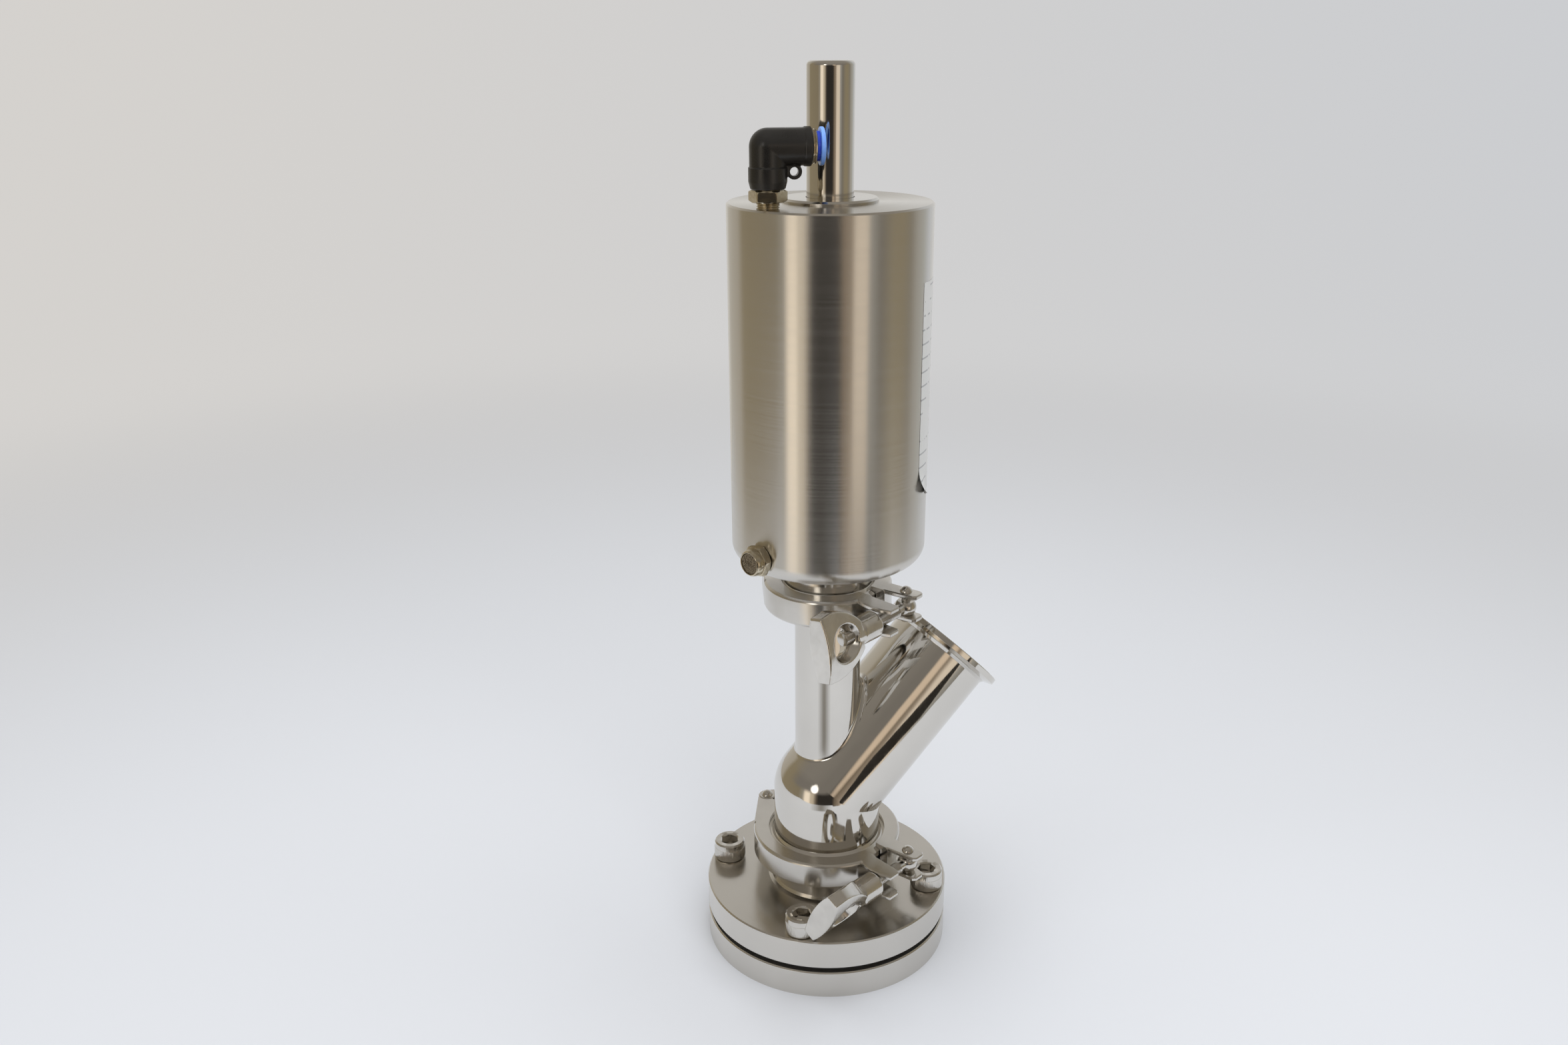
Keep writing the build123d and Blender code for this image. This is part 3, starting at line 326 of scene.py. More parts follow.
MATERIALS = {
    "machined_steel": brushed_steel("machined_steel", 0.2, 2000.0, 0.001 * MM, 0.6, 0.2 * MM),
    "brushed_steel": brushed_steel("brushed_steel"),
    "turned_steel": brushed_steel("turned_steel", 0.15, 2600.0, 0.001 * MM, 0.5, 0.2 * MM),
    "polished_steel": polished_steel("polished_steel"),
    "clamp_steel": blasted_steel("clamp_steel"),
    "screw_steel": blasted_steel("screw_steel", 0.17, 0.0015 * MM, 0.15 * MM),
    "cast_steel": cast_steel("cast_steel"),
    "spring_steel": spring_wire("spring_steel"),
    "piston_aluminium": brushed_steel("piston_aluminium", 0.3),
    "nickel_brass": plated_brass("nickel_brass"),
    "sintered_bronze": sintered_bronze("sintered_bronze"),
    "black_plastic": moulded_plastic("black_plastic", (0.011, 0.0105, 0.01), 0.3, 0.006 * MM),
    "blue_plastic": moulded_plastic("blue_plastic", (0.16, 0.33, 0.82), 0.25, 0.004 * MM),
    "bearing_plastic": moulded_plastic("bearing_plastic", (0.62, 0.57, 0.45), 0.5),
    "white_seal": moulded_plastic("white_seal", (0.8, 0.8, 0.78), 0.4, 0.004 * MM),
    "black_rubber": moulded_plastic("black_rubber", (0.012, 0.012, 0.012), 0.6, 0.02 * MM),
    "label_film": label_film("label_film"),
}
ROD_STEEL = polished_steel("rod_steel", 0.09, 0.004 * MM)
# A darker copy of the blue plastic for the release ring's barrel: painted shade.
PAINTED_SHADE_BLUE = moulded_plastic("blue_plastic_painted_shade", (0.012, 0.045, 0.42), 0.25, 0.004 * MM)

SLOT_OF = {row["node"]: row["material_slot"] for row in frame["record"]["subparts"]}
for node_name, node_object in NODES.items():
    node_object.data.materials.clear()
    node_object.data.materials.append(MATERIALS[SLOT_OF[node_name]])
NODES["indicator_rod"].data.materials[0] = ROD_STEEL


# === mesh tools =================================================================================
def new_piece(name, verts, faces, sharp=math.radians(32)):
    """A linked mesh object with smooth faces and sharp creases."""
    mesh = bpy.data.meshes.new(name)
    mesh.from_pydata([tuple(v) for v in verts], [], faces)
    mesh.validate()
    piece = bpy.data.objects.new(name, mesh)
    bpy.context.scene.collection.objects.link(piece)
    smooth(piece, sharp)
    return piece


def smooth(piece, sharp=math.radians(32)):
    """Smooth shading with creases above an angle, and faces turned outwards."""
    work = bmesh.new()
    work.from_mesh(piece.data)
    bmesh.ops.recalc_face_normals(work, faces=work.faces)
    work.to_mesh(piece.data)
    work.free()
    piece.data.shade_smooth()
    piece.data.set_sharp_from_angle(angle=sharp)


def loft(rings, segments=96, closed=False):
    """Vertices and faces of a stack of (height, radius) rings around Z.

    A radius is a number or a function of the angles. A closed loft joins its last ring to its
    first; an open one is capped.
    """
    angles = np.arange(segments) * 2 * math.pi / segments
    verts = []
    for height, radius in rings:
        r = radius(angles) if callable(radius) else np.full(segments, float(radius))
        verts += list(zip(r * np.cos(angles), r * np.sin(angles), np.full(segments, height)))
    faces = []
    count = len(rings)
    for i in range(count if closed else count - 1):
        a, b = i * segments, (i + 1) % count * segments
        for k in range(segments):
            n = (k + 1) % segments
            faces.append((a + k, a + n, b + n, b + k))
    if not closed:
        faces.append(tuple(reversed(range(segments))))
        faces.append(tuple((count - 1) * segments + k for k in range(segments)))
    return verts, faces


def hexagon(across_flats):
    """Radius of a hexagon as a function of the angle."""

    def radius(angles):
        folded = np.mod(angles + math.pi / 6, math.pi / 3) - math.pi / 6
        return across_flats / 2 / np.cos(folded)

    return radius


def smaller(first, second):
    """The smaller of two radii, each a number or a function."""

    def radius(angles):
        a = first(angles) if callable(first) else first
        b = second(angles) if callable(second) else second
        return np.minimum(a, b)

    return radius


def thread_rings(radius, pitch, low, high, depth=0.6, steps=8, fade=1.0):
    """Rings of a right-hand thread between two heights, running out at both ends."""
    rings = []
    for z in np.linspace(low, high, int((high - low) / pitch * steps) + 1):
        strength = min(1.0, (z - low) / (fade * pitch), (high - z) / (fade * pitch))

        def groove(angles, z=z, strength=strength):
            phase = np.mod(z / pitch - angles / (2 * math.pi), 1.0)
            valley = np.clip(1.25 - np.abs(phase - 0.5) * 4, 0, 1)
            return radius - depth * pitch * valley * max(strength, 0.0)

        rings.append((z, groove))
    return rings


def joined(*parts):
    """One (vertices, faces) pair from several."""
    verts, faces = [], []
    for part_verts, part_faces in parts:
        start = len(verts)
        verts += part_verts
        faces += [tuple(i + start for i in face) for face in part_faces]
    return verts, faces


def moved(part, matrix):
    """A (vertices, faces) pair after a transform."""
    verts, faces = part
    return [tuple(matrix @ Vector(v)) for v in verts], faces


def axes_at(origin, z_axis, x_axis):
    """Matrix with the given origin, z axis and approximate x axis."""
    z = Vector(z_axis).normalized()
    x = (Vector(x_axis) - Vector(x_axis).dot(z) * z).normalized()
    y = z.cross(x)
    matrix = Matrix((x, y, z)).transposed().to_4x4()
    matrix.translation = Vector(origin)
    return matrix


def fit(piece, body, material=None, slot=None, replaces=()):
    """Parents a piece to its body, gives it a material, the slot's one when none is given, and hides the
    CAD nodes that it stands for.
    """
    piece.data.materials.clear()
    piece.data.materials.append(material or MATERIALS[slot])
    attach(piece, body)
    if replaces:
        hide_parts(*replaces)
    return piece


def rounded_copy(node, name, voxel, passes, *extras):
    """A copy of a CAD node's mesh, joined with extra parts, its edges rounded like a casting's."""
    mesh = NODES[node].data.copy()
    piece = bpy.data.objects.new(name, mesh)
    bpy.context.scene.collection.objects.link(piece)
    work = bmesh.new()
    work.from_mesh(mesh)
    for verts, faces in extras:
        added = [work.verts.new(v) for v in verts]
        for face in faces:
            work.faces.new([added[i] for i in face])
    bmesh.ops.remove_doubles(work, verts=work.verts, dist=0.002 * MM)
    work.to_mesh(mesh)
    work.free()
    remesh = piece.modifiers.new("remesh", "REMESH")
    remesh.mode = "VOXEL"
    remesh.voxel_size = voxel
    relax = piece.modifiers.new("relax", "SMOOTH")
    relax.factor = 0.5
    relax.iterations = passes
    graph = bpy.context.evaluated_depsgraph_get()
    baked = bpy.data.meshes.new_from_object(piece.evaluated_get(graph))
    piece.modifiers.clear()
    piece.data = baked
    baked.name = name
    baked.shade_smooth()
    return piece


# === flange screws ==============================================================================
def knurl(radius, teeth=72, depth=0.16 * MM):
    """Straight knurling around a radius."""

    def wave(angles):
        return radius - depth * (0.5 - 0.5 * np.cos(teeth * angles)) ** 0.7

    return wave


def screw_head(height):
    """Socket head: plain foot, knurled band, smooth crown and hexagon socket."""
    r = SCREW_HEAD_R
    key = hexagon(SCREW_KEY_AF)
    rings = [
        (-0.4 * MM, 4.0 * MM),
        (0.0, r - 0.9 * MM),
        (0.3 * MM, r - 0.3 * MM),
        (0.7 * MM, r - 0.22 * MM),
        (0.9 * MM, knurl(r)),
        (height - 3.6 * MM, knurl(r)),
        (height - 3.3 * MM, r - 0.22 * MM),
        (height - 0.75 * MM, r - 0.2 * MM),
        (height, r - 0.85 * MM),
        (height, 4.9 * MM),
        (height - 0.5 * MM, smaller(key, 4.4 * MM)),
        (height - 0.8 * MM, key),
        (height - 5.0 * MM, key),
        (height - 6.2 * MM, 0.4 * MM),
    ]
    return loft(rings, 432)


def screw_shank(length):
    """Threaded shank below a head."""
    thread = thread_rings(4.95 * MM, 1.5 * MM, 0.6 * MM - length, -0.2 * MM, steps=5)
    return loft([(-length, 3.9 * MM)] + thread, 32)


def make_flange_screws():
    """Four socket head screws on the flange's bolt circle."""
    low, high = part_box("flange_screws")
    seat = high.z - SCREW_HEAD_H
    head = screw_head(SCREW_HEAD_H)
    shank = screw_shank(seat - low.z)
    copies = []
    for i in range(SCREW_COUNT):
        a = SCREW_AZ + i * 2 * math.pi / SCREW_COUNT
        place = Matrix.Translation((SCREW_CIRCLE_R * math.cos(a), SCREW_CIRCLE_R * math.sin(a), seat))
        place = place @ Matrix.Rotation(0.35 + 1.3 * i, 4, "Z")
        copies += [moved(head, place), moved(shank, place)]
    piece = new_piece("flange_screws_detail", *joined(*copies))
    fit(piece, "valve_frame", slot="screw_steel", replaces=["flange_screws"])


# === clamp bolts and wing nuts ==================================================================
def make_eye():
    """Flattened ball with a hole along Z."""
    rings = []
    limit = math.asin(EYE_HALF_H / EYE_R)
    for a in np.linspace(-limit, limit, 13):
        rings.append((EYE_R * math.sin(a), EYE_R * math.cos(a)))
    edge = EYE_R * math.cos(limit)
    low = [(-EYE_HALF_H, EYE_HOLE_R + 0.25 * MM), (-EYE_HALF_H, edge - 0.2 * MM)]
    high = [(EYE_HALF_H, edge - 0.2 * MM), (EYE_HALF_H, EYE_HOLE_R + 0.25 * MM)]
    wall = [(EYE_HALF_H - 0.25 * MM, EYE_HOLE_R), (0.25 * MM - EYE_HALF_H, EYE_HOLE_R)]
    return loft(low + rings + high + wall, 48, closed=True)


def make_eye_bolt(prefix):
    """Eye bolt with a necked, threaded shank."""
    pivot = JOINTS[prefix + "_bolt_swing"]["pos_m"]
    axis = JOINTS[prefix + "_nut_spin"]["axis"]
    thread = thread_rings(BOLT_R, BOLT_PITCH, 7.4 * MM, BOLT_LENGTH - 0.5 * MM, 0.55)
    rings = [(3.4 * MM, 2.6 * MM), (5.2 * MM, 2.55 * MM), (7.0 * MM, 2.6 * MM)] + thread
    rings += [(BOLT_LENGTH - 0.2 * MM, 2.5 * MM), (BOLT_LENGTH, 1.9 * MM)]
    shank = moved(loft(rings, 36), axes_at((0, 0, 0), axis, (0, 0, 1)))
    both = moved(joined(make_eye(), shank), Matrix.Translation(pivot))
    piece = new_piece(prefix + "_eye_bolt_detail", *both, sharp=math.radians(40))
    fit(piece, prefix + "_bolt", slot="screw_steel", replaces=[prefix + "_eye_bolt"])


def make_wing_nut(prefix):
    """Wing nut with the soft edges of a tumbled casting."""
    node = prefix + "_wing_nut"
    piece = rounded_copy(node, node + "_cast", 0.3 * MM, 18)
    fit(piece, prefix + "_nut", slot="cast_steel", replaces=[node])


# === air elbow ==================================================================================
PORT = Vector(JOINTS["elbow_swivel"]["pos_m"])
ARM_AXIS = -Vector(JOINTS["release_ring_push"]["axis"])
ARM_HEIGHT = (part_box("port_collar")[0].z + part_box("port_collar")[1].z) / 2
ARM = axes_at((PORT.x, PORT.y, ARM_HEIGHT), ARM_AXIS, (0, 0, 1))


def make_port_adapter():
    """Hexagon nipple with turned corners and a visible thread."""
    hex_r = hexagon(14.0 * MM)
    gap, top = 2.9 * MM, 7.9 * MM
    thread = thread_rings(PORT_THREAD_R, PORT_PITCH, -7.3 * MM, gap - 0.5 * MM, 0.62, steps=7, fade=0.6)
    rings = [(-7.5 * MM, 4.2 * MM)] + thread + [
        (gap - 0.35 * MM, 4.4 * MM),
        (gap, 4.5 * MM),
        (gap, smaller(hex_r, 6.9 * MM)),
        (gap + 0.55 * MM, smaller(hex_r, 7.85 * MM)),
        (gap + 0.9 * MM, hex_r),
        (top - 0.9 * MM, hex_r),
        (top - 0.5 * MM, smaller(hex_r, 7.8 * MM)),
        (top, smaller(hex_r, 6.9 * MM)),
        (top, 5.0 * MM),
        (top + 9.0 * MM, 5.0 * MM),
        (top + 9.0 * MM, 3.0 * MM),
        (-7.5 * MM, 3.0 * MM),
    ]
    turn = Matrix.Rotation(math.radians(30), 4, "Z")
    part = moved(loft(rings, 144, closed=True), Matrix.Translation(PORT) @ turn)
    piece = new_piece("port_adapter_detail", *part, sharp=math.radians(28))
    fit(piece, "valve_frame", slot="nickel_brass", replaces=["port_adapter"])


def make_port_elbow():
    """Moulded elbow with soft inner corners and a raised rim at its mouth."""
    rim = [
        (14.9 * MM, 7.2 * MM),
        (14.9 * MM, 7.8 * MM),
        (15.1 * MM, 7.95 * MM),
        (17.5 * MM, 7.95 * MM),
        (17.85 * MM, 7.6 * MM),
        (17.85 * MM, 7.2 * MM),
    ]
    mouth = moved(loft(rim, 96, closed=True), ARM)
    piece = rounded_copy("port_elbow", "port_elbow_moulded", 0.24 * MM, 3, mouth)
    fit(piece, "swivel_elbow", slot="black_plastic", replaces=["port_elbow"])


def make_port_collar():
    """Grooved collar in the elbow's mouth."""
    face, start = 17.9 * MM, 13.1 * MM
    rings = [
        (start, 6.3 * MM),
        (start, 6.73 * MM),
        (face, 6.73 * MM),
        (face + 0.1 * MM, 7.0 * MM),
        (face + 0.5 * MM, 7.0 * MM),
        (face + 0.7 * MM, 6.6 * MM),
        (face + 0.95 * MM, 6.6 * MM),
        (face + 1.15 * MM, 7.0 * MM),
        (face + 1.65 * MM, 6.95 * MM),
        (face + 1.9 * MM, 6.7 * MM),
        (face + 1.9 * MM, 6.3 * MM),
    ]
    piece = new_piece("port_collar_detail", *moved(loft(rings, 96, closed=True), ARM))
    fit(piece, "swivel_elbow", slot="nickel_brass", replaces=["port_collar"])


def make_release_ring():
    """Release ring: pale flange and a barrel in a darker copy of the blue, which is painted shade."""
    start, inner, outer = 14.5 * MM, 21.3 * MM, 23.1 * MM
    flange = [
        (inner, 5.9 * MM),
        (inner, 7.35 * MM),
        (inner + 0.12 * MM, 7.6 * MM),
        (inner + 0.4 * MM, 7.7 * MM),
        (outer - 0.5 * MM, 7.7 * MM),
        (outer - 0.15 * MM, 7.55 * MM),
        (outer, 7.2 * MM),
        (outer, 5.7 * MM),
        (outer - 0.5 * MM, 5.1 * MM),
        (inner, 5.06 * MM),
    ]
    barrel = [(start, 5.06 * MM), (start, 6.0 * MM), (inner, 6.0 * MM), (inner, 5.06 * MM)]
    piece = new_piece("release_ring_flange", *moved(loft(flange, 96, closed=True), ARM))
    fit(piece, "release_ring", slot="blue_plastic", replaces=["release_ring"])
    piece = new_piece("release_ring_barrel", *moved(loft(barrel, 96, closed=True), ARM))
    # The barrel takes the darker copy of the blue: painted shade.
    fit(piece, "release_ring", PAINTED_SHADE_BLUE, "blue_plastic")


# === breather ===================================================================================
def make_vent():
    """Hexagon breather with a domed collar, and its rough disc."""
    low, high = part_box("vent_disc")
    face = (low + high) / 2
    out = Vector((face.x, face.y, 0)).normalized()
    wall = 45.1 * MM
    place = axes_at((out.x * wall, out.y * wall, face.z), out, (0, 0, 1))
    hex_r = hexagon(13.0 * MM)
    rings = [
        (-8.0 * MM, 4.5 * MM),
        (0.1 * MM, 4.8 * MM),
        (0.1 * MM, smaller(hex_r, 6.5 * MM)),
        (0.5 * MM, smaller(hex_r, 7.2 * MM)),
        (0.9 * MM, hex_r),
        (3.2 * MM, hex_r),
        (3.6 * MM, smaller(hex_r, 7.1 * MM)),
        (4.0 * MM, smaller(hex_r, 6.45 * MM)),
        (4.0 * MM, 6.1 * MM),
        (4.3 * MM, 6.3 * MM),
        (5.2 * MM, 6.3 * MM),
        (6.2 * MM, 6.1 * MM),
        (6.9 * MM, 5.8 * MM),
        (7.3 * MM, 5.5 * MM),
        (7.5 * MM, 5.2 * MM),
        (7.4 * MM, 4.95 * MM),
        (5.4 * MM, 4.9 * MM),
        (5.3 * MM, 1.0 * MM),
    ]
    part = moved(loft(rings, 144), place @ Matrix.Rotation(math.radians(8), 4, "Z"))
    piece = new_piece("vent_body_detail", *part, sharp=math.radians(28))
    fit(piece, "valve_frame", slot="nickel_brass", replaces=["vent_body"])

    random = np.random.default_rng(7)
    disc = [(5.4 * MM, 4.8 * MM), (6.95 * MM, 4.8 * MM)]
    grain_rings = []
    for radius in np.linspace(4.75, 0.2, 24) * MM:
        grain_rings.append((7.05 * MM, radius))
    verts, faces = loft(disc + grain_rings, 90)
    first = len(disc) * 90
    verts = [
        (x, y, z + (random.random() - 0.5) * 0.22 * MM) if i >= first else (x, y, z)
        for i, (x, y, z) in enumerate(verts)
    ]
    piece = new_piece("vent_disc_detail", *moved((verts, faces), place), sharp=math.radians(180))
    fit(piece, "valve_frame", slot="sintered_bronze", replaces=["vent_disc"])


# === label ======================================================================================
def make_label():
    """Adhesive film around the barrel's side with one lower corner lifting off."""
    low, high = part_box("side_label")
    radius = 45.13 * MM
    centre, half = math.radians(5.5), math.radians(32.5)
    columns, rows = 60, 72
    thick = 0.14 * MM
    width, height = 2 * half * radius, high.z - low.z

    def film(u, v, lift):
        azimuth = centre + (u * 2 - 1) * half
        z = low.z + v * height
        corner = max(0.0, 1 - math.hypot(u * width / (9 * MM), v * height / (13 * MM)))
        r = radius + lift + 3.4 * MM * corner**1.7
        azimuth += corner**2 * math.radians(2.4)
        return (r * math.cos(azimuth), r * math.sin(azimuth), z + 2.0 * MM * corner**2)

    verts = []
    for lift in (0.0, thick):
        for j in range(rows + 1):
            for i in range(columns + 1):
                verts.append(film(i / columns, j / rows, lift))
    faces = []
    layer = (columns + 1) * (rows + 1)
    for j in range(rows):
        for i in range(columns):
            a = j * (columns + 1) + i
            quad = (a, a + 1, a + columns + 2, a + columns + 1)
            faces.append(tuple(reversed(quad)))
            faces.append(tuple(k + layer for k in quad))
    rim = list(range(columns + 1))
    rim += [j * (columns + 1) + columns for j in range(1, rows + 1)]
    rim += [rows * (columns + 1) + i for i in range(columns - 1, -1, -1)]
    rim += [j * (columns + 1) for j in range(rows - 1, 0, -1)]
    for k, a in enumerate(rim):
        b = rim[(k + 1) % len(rim)]
        faces.append((a, b, b + layer, a + layer))
    piece = new_piece("side_label_film", verts, faces)
    fit(piece, "valve_frame", slot="label_film", replaces=["side_label"])


# === spring and bellows =========================================================================
def make_return_spring():
    """Coil spring in the CAD spring's place."""
    low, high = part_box("return_spring")
    wire = 3.0 * MM
    mean = 29.0 * MM
    turns, steps, sides = 6.5, 40, 14
    bottom, top = low.z + wire, high.z - wire
    count = int(turns * steps)
    verts, faces = [], []
    for i in range(count + 1):
        t = i / count
        a = 2 * math.pi * turns * t
        centre = Vector((mean * math.cos(a), mean * math.sin(a), bottom + (top - bottom) * t))
        outward = Vector((math.cos(a), math.sin(a), 0))
        for k in range(sides):
            b = 2 * math.pi * k / sides
            verts.append(centre + wire * (math.cos(b) * outward + math.sin(b) * Vector((0, 0, 1))))
    for i in range(count):
        for k in range(sides):
            n = (k + 1) % sides
            faces.append((i * sides + k, i * sides + n, (i + 1) * sides + n, (i + 1) * sides + k))
    faces.append(tuple(range(sides)))
    faces.append(tuple(count * sides + k for k in reversed(range(sides))))
    piece = new_piece("return_spring_coil", verts, faces)
    piece.data.materials.append(MATERIALS["spring_steel"])
    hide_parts("return_spring")
    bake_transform(piece)


def make_stem_bellows():
    """Convoluted stem diaphragm in the CAD part's place."""
    low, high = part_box("stem_bellows")
    rim_low = high.z - 1.6 * MM
    foot_top = low.z + 5 * MM
    folds, steps = 14, 10
    fold_top = rim_low - 2 * MM
    rings = [(high.z, 8.6 * MM), (high.z, 24.45 * MM), (rim_low, 24.45 * MM), (rim_low, 13.4 * MM)]
    outside = []
    for i in range(folds * steps + 1):
        t = i / (folds * steps)
        wave = 0.5 - 0.5 * math.cos(2 * math.pi * folds * t)
        outside.append((fold_top + (foot_top - fold_top) * t, 9.4 * MM + 3.0 * MM * wave))
    rings += outside
    rings += [
        (low.z + 0.4 * MM, 9.4 * MM),
        (low.z, 9.0 * MM),
        (low.z, 7.06 * MM),
        (foot_top - 0.6 * MM, 7.06 * MM),
    ]
    rings += [(z, r - 0.8 * MM) for z, r in reversed(outside)]
    piece = new_piece("stem_bellows_folds", *loft(rings, 64, closed=True), sharp=math.radians(50))
    piece.data.materials.append(MATERIALS["white_seal"])
    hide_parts("stem_bellows")
    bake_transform(piece)


make_flange_screws()
for clamp in ("lower", "upper"):
    make_eye_bolt(clamp)
    make_wing_nut(clamp)
make_port_adapter()
make_port_elbow()
make_port_collar()
make_release_ring()
make_vent()
make_label()
make_return_spring()
make_stem_bellows()


# === stage ======================================================================================
def floor_material():
    """Pale matt sheet that turns into an evenly lit backdrop away from the valve."""
    shader = Shader("pale_floor", FLOOR_COLOUR, 0.75, Specular_IOR_Level=0.1)
    x, y = shader.split_position()[:2]
    reach = {0: shader.distance(x, y), 1: 0.35, 2: 1.5}
    away = shader.node("ShaderNodeMapRange", reach, interpolation_type="SMOOTHSTEP")
    shader.vary_colour(away.outputs[0], (0, 0, 0), 0.0, 1.0)
    sides = shader.node("ShaderNodeMapRange", {0: x, 1: -1.2, 2: 1.2}).outputs[0]
    tint = shader.node("ShaderNodeMix", {"Factor": sides}, data_type="RGBA")
    tint.inputs["A"].default_value = (*BACKDROP_COLOUR, 1)
    tint.inputs["B"].default_value = (*BACKDROP_COOL, 1)
    shader.tree.links.new(tint.outputs["Result"], shader.surface.inputs["Emission Color"])
    shader.tree.links.new(away.outputs[0], shader.surface.inputs["Emission Strength"])
    return shader.material


def make_floor():
    """Near sheet that the metal mirrors, and a round sweep that only the camera sees."""
    near_x, near_back = 0.55, 0.75
    sweep_start, sweep_r, wall_top, below = 1.3, 0.9, 3.0, -0.0003
    material = floor_material()

    def sheet(name, verts, faces):
        piece = new_piece(name, verts, faces, sharp=math.pi)
        piece.data.materials.append(material)
        return piece

    front = [(-near_x, -0.36, 0), (0.1, -0.34, 0), (0.28, -0.22, 0), (near_x, -0.12, 0)]
    corners = front + [(near_x, near_back, 0), (-near_x, near_back, 0)]
    sheet("floor_near", corners, [tuple(range(len(corners)))])
    rings = [(below, 0.02), (below, 0.6), (below, sweep_start)]
    for a in np.linspace(0, math.pi / 2, 16)[1:]:
        rings.append((below + sweep_r * (1 - math.cos(a)), sweep_start + sweep_r * math.sin(a)))
    rings.append((wall_top, sweep_start + sweep_r))
    verts, faces = loft(rings, 96)
    far = sheet("floor_far", verts, faces[:-1])
    far.visible_glossy = False
    far.visible_diffuse = False
    far.visible_shadow = False


def make_cards():
    """Two cards in front that only reflections show: a low dark one standing to the right and a
    grey one lying in the middle, a painted shadow on the floor that fades into the floor colour."""

    def card(name, near, far, top, turns, colour, fading=False):
        verts = []
        for a in np.radians(turns):
            for distance, height in ((near, 0.0008), (far, top)):
                verts.append((distance * math.sin(a), -distance * math.cos(a), height))
        faces = [(2 * i, 2 * i + 2, 2 * i + 3, 2 * i + 1) for i in range(len(turns) - 1)]
        piece = new_piece(name, verts, faces)
        shader = Shader(name, colour, 0.9)
        shader.vary_roughness(shader.noise(shader.stretched((40, 40, 40))), 0.05)
        if fading:
            x, y = shader.split_position()[:2]
            azimuth = shader.math("ARCTAN2", x, shader.math("MULTIPLY", y, -1.0))
            middle, half = np.radians([(turns[0] + turns[-1]) / 2, (turns[-1] - turns[0]) / 2])
            aside = shader.math("ABSOLUTE", shader.math("SUBTRACT", azimuth, float(middle)))
            shader.vary_colour(aside, FLOOR_COLOUR, 0.1 * half, 0.95 * half)
        piece.data.materials.append(shader.material)
        piece.visible_camera = False
        piece.visible_diffuse = False
        piece.visible_shadow = False

    card("dark_card", 0.4, 0.4, 0.1, np.linspace(25, 50, 8), (0.03, 0.026, 0.022))
    # Painted shadow: a grey sheet on the floor in front, seen only in reflections, darker than the floor
    # where shade falls.
    card("painted_shadow_card", 0.2, 0.42, 0.0008, np.linspace(-34, 12, 8), (0.26, 0.255, 0.245), True)


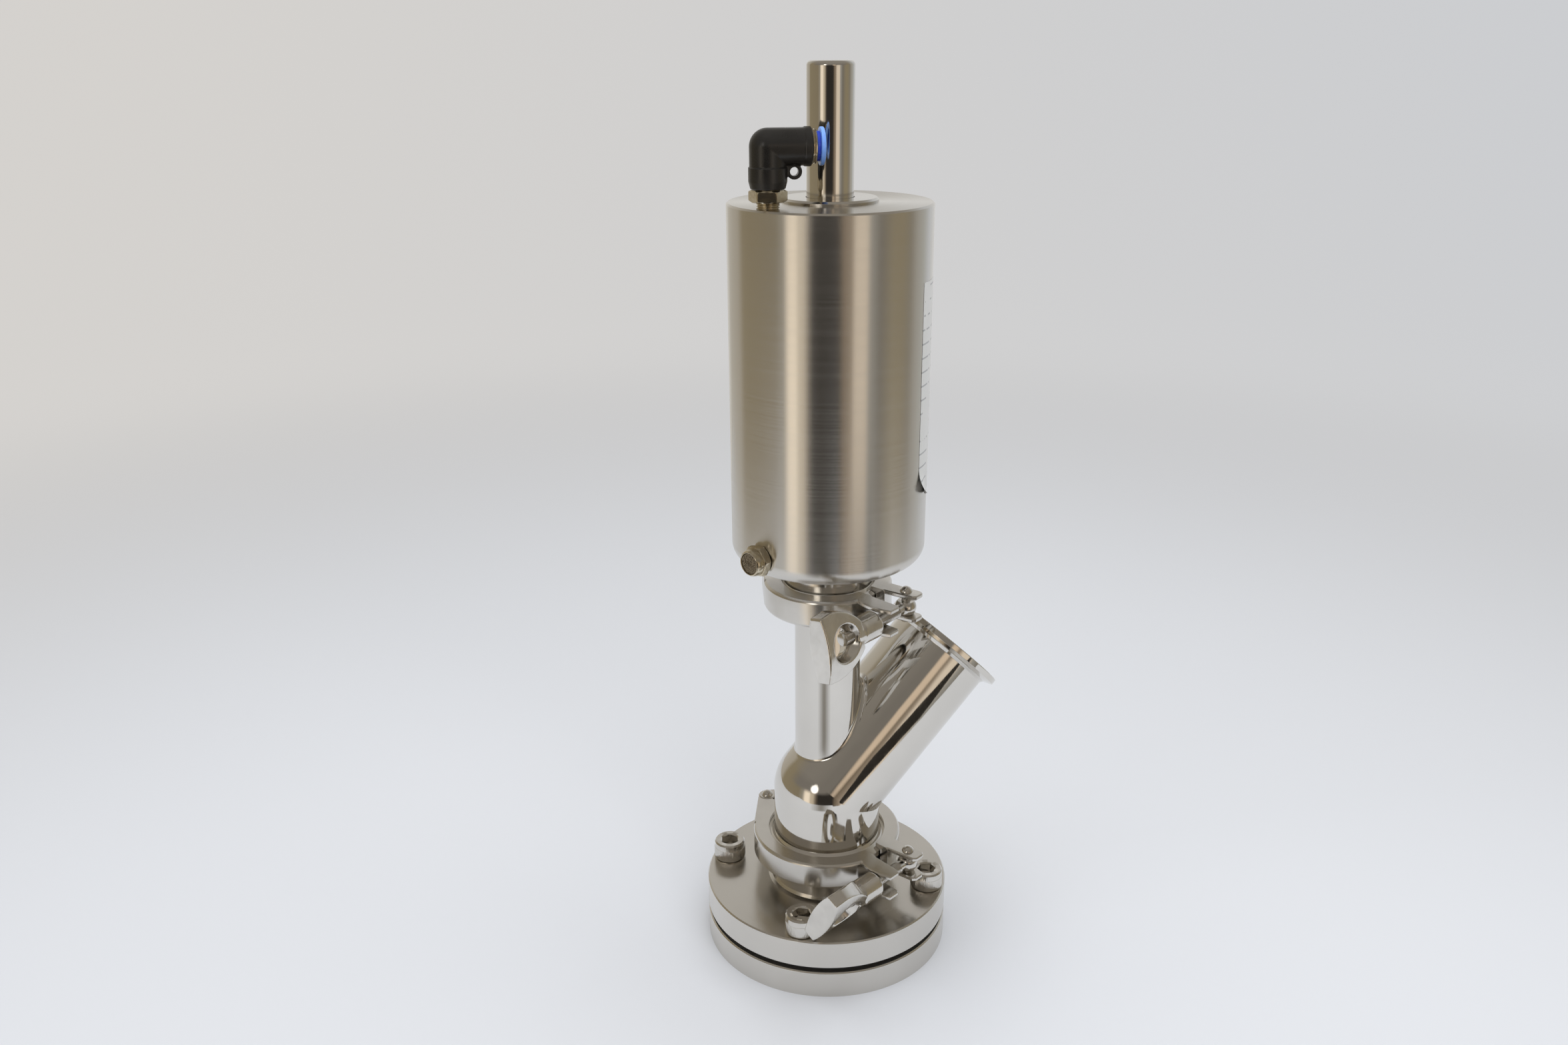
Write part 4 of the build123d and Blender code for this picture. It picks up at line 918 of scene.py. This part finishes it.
def make_world():
    """Room that the metal mirrors: dark behind the camera, a tall soft panel on each side of it,
    warm walls and a pale back. The camera itself sees a plain pale backdrop."""
    world = bpy.data.worlds.new("studio")
    bpy.context.scene.world = world
    world.use_nodes = True
    tree = world.node_tree
    tree.nodes.clear()

    def node(kind, inputs=(), **settings):
        return add_node(tree, kind, inputs, **settings)

    def maths(operation, *values):
        return node("ShaderNodeMath", dict(enumerate(values)), operation=operation).outputs[0]

    def mixed(factor, first, second):
        """First colour, replaced by the second where the factor is one."""
        return node("ShaderNodeMix", {"Factor": factor, "A": first, "B": (*second, 1)}, data_type="RGBA")

    def ramp(value, stops):
        made = node("ShaderNodeValToRGB", {0: value})
        band = made.color_ramp
        while len(band.elements) > 1:
            band.elements.remove(band.elements[-1])
        band.elements[0].position = stops[0][0]
        band.elements[0].color = (*stops[0][1], 1)
        for position, colour in stops[1:]:
            band.elements.new(position).color = (*colour, 1)
        return made.outputs[0]

    direction = node("ShaderNodeTexCoord").outputs["Generated"]
    split = node("ShaderNodeSeparateXYZ", {0: direction})
    towards_camera = maths("MULTIPLY", split.outputs[1], -1.0)
    angle = maths("ARCTAN2", split.outputs[0], towards_camera)
    turn = maths("MULTIPLY_ADD", angle, 1 / (2 * math.pi), 0.5)

    # These tones and the stops below were typed in by hand from brightness readings that a scratch
    # program took from the photograph's pixels along the barrel, divided by the steel's colour.
    # The front tone, the ceiling, the two patches and the cards come from such readings too.
    dark = (0.035, 0.031, 0.027)
    warm = (0.31, 0.262, 0.175)
    pale = (0.7, 0.69, 0.67)
    left_panel = (1.15, 1.0, 0.81)
    right_panel = (0.86, 0.74, 0.6)
    around = [
        (-180, pale),
        (-158, (0.67, 0.65, 0.61)),
        (-150, (0.54, 0.51, 0.45)),
        (-122, (0.47, 0.43, 0.36)),
        (-112, warm),
        (-62, (0.28, 0.235, 0.16)),
        (-52, (0.36, 0.33, 0.27)),
        (-46, left_panel),
        (-38, left_panel),
        (-34, (0.68, 0.59, 0.46)),
        (-29, (0.62, 0.53, 0.4)),
        (-23, (0.16, 0.13, 0.1)),
        (-18, dark),
        (11, dark),
        (16, (0.2, 0.155, 0.11)),
        (24, (0.36, 0.29, 0.22)),
        (29, right_panel),
        (41, right_panel),
        (46, (0.4, 0.385, 0.35)),
        (58, (0.22, 0.2, 0.17)),
        (74, warm),
        (88, warm),
        (100, (0.28, 0.25, 0.2)),
        (112, (0.42, 0.4, 0.36)),
        (126, (0.48, 0.48, 0.45)),
        (140, (0.62, 0.64, 0.67)),
        (155, (0.68, 0.68, 0.68)),
        (180, pale),
    ]
    band = ramp(turn, [(degrees / 360 + 0.5, colour) for degrees, colour in around])
    height = maths("MULTIPLY_ADD", split.outputs[2], 0.5, 0.5)
    raised = node("ShaderNodeMapRange", {0: height, 1: 0.57, 2: 0.63}).outputs[0]
    frontal = node("ShaderNodeMapRange", {0: towards_camera, 1: -0.1, 2: 0.3}).outputs[0]
    walls = mixed(maths("MULTIPLY", raised, frontal), band, (0.23, 0.21, 0.185)).outputs["Result"]
    ceiling = ramp(height, [(0.0, (0, 0, 0)), (0.72, (0, 0, 0)), (0.9, (1, 1, 1))])
    room = mixed(ceiling, walls, (0.3, 0.275, 0.24)).outputs["Result"]

    def add_patch(base, azimuth, elevation, radius, colour):
        """Soft-edged round patch of light added to the room."""
        a, e = math.radians(azimuth), math.radians(elevation)
        centre = (math.sin(a) * math.cos(e), -math.cos(a) * math.cos(e), math.sin(e))
        facing = node("ShaderNodeVectorMath", {0: direction, 1: centre}, operation="DOT_PRODUCT")
        outer, inner = math.cos(math.radians(radius * 1.4)), math.cos(math.radians(radius * 0.7))
        patch = node("ShaderNodeMapRange", {0: facing.outputs["Value"], 1: outer, 2: inner}).outputs[0]
        return mixed(patch, base, colour).outputs["Result"]

    lit = add_patch(room, 15, 12, 6, (0.8, 0.64, 0.48))
    lit = add_patch(lit, -28, 19, 6.5, (2.6, 2.5, 2.35))
    camera_ray = node("ShaderNodeLightPath").outputs["Is Camera Ray"]
    seen = mixed(camera_ray, lit, BACKDROP_COLOUR)
    background = node("ShaderNodeBackground", {"Color": seen.outputs["Result"], "Strength": 1.0})
    node("ShaderNodeOutputWorld", {"Surface": background.outputs[0]})


def make_light(name, place, target, size, watts):
    """Square soft light aimed at a point, which reflections don't show."""
    data = bpy.data.lights.new(name, "AREA")
    data.size = size
    data.energy = watts
    light = bpy.data.objects.new(name, data)
    bpy.context.scene.collection.objects.link(light)
    light.location = place
    light.rotation_euler = (Vector(target) - Vector(place)).to_track_quat("-Z", "Y").to_euler()
    light.visible_glossy = False
    light.visible_camera = False


def make_camera():
    """Camera at the height and tilt from which the valve is seen."""
    yaw, pitch, roll = CAMERA_YAW, CAMERA_PITCH, CAMERA_ROLL
    ahead = math.cos(pitch)
    forward = Vector((math.sin(yaw) * ahead, math.cos(yaw) * ahead, -math.sin(pitch)))
    level = forward.cross(Vector((0, 0, 1))).normalized()
    upright = level.cross(forward)
    right = math.cos(roll) * level + math.sin(roll) * upright
    up = math.cos(roll) * upright - math.sin(roll) * level
    data = bpy.data.cameras.new("camera")
    data.lens = CAMERA_LENS
    data.sensor_width = 36.0
    data.clip_end = 50.0
    camera = bpy.data.objects.new("camera", data)
    bpy.context.scene.collection.objects.link(camera)
    matrix = Matrix((right, up, -forward)).transposed().to_4x4()
    matrix.translation = Vector((0, -CAMERA_BACK, CAMERA_HEIGHT))
    camera.matrix_world = matrix
    bpy.context.scene.camera = camera


make_floor()
make_cards()
make_world()
make_light("overhead", (0.1, 0.1, 1.5), (0, 0, 0), 1.4, 15.0)
make_light("left_fill", (-0.9, -0.6, 0.9), (0, 0, 0.15), 0.8, 3.0)
make_light("front_fill", (0.4, -1.0, 0.8), (0, 0, 0), 0.9, 5.0)
make_camera()
bpy.context.scene.view_settings.view_transform = "Standard"
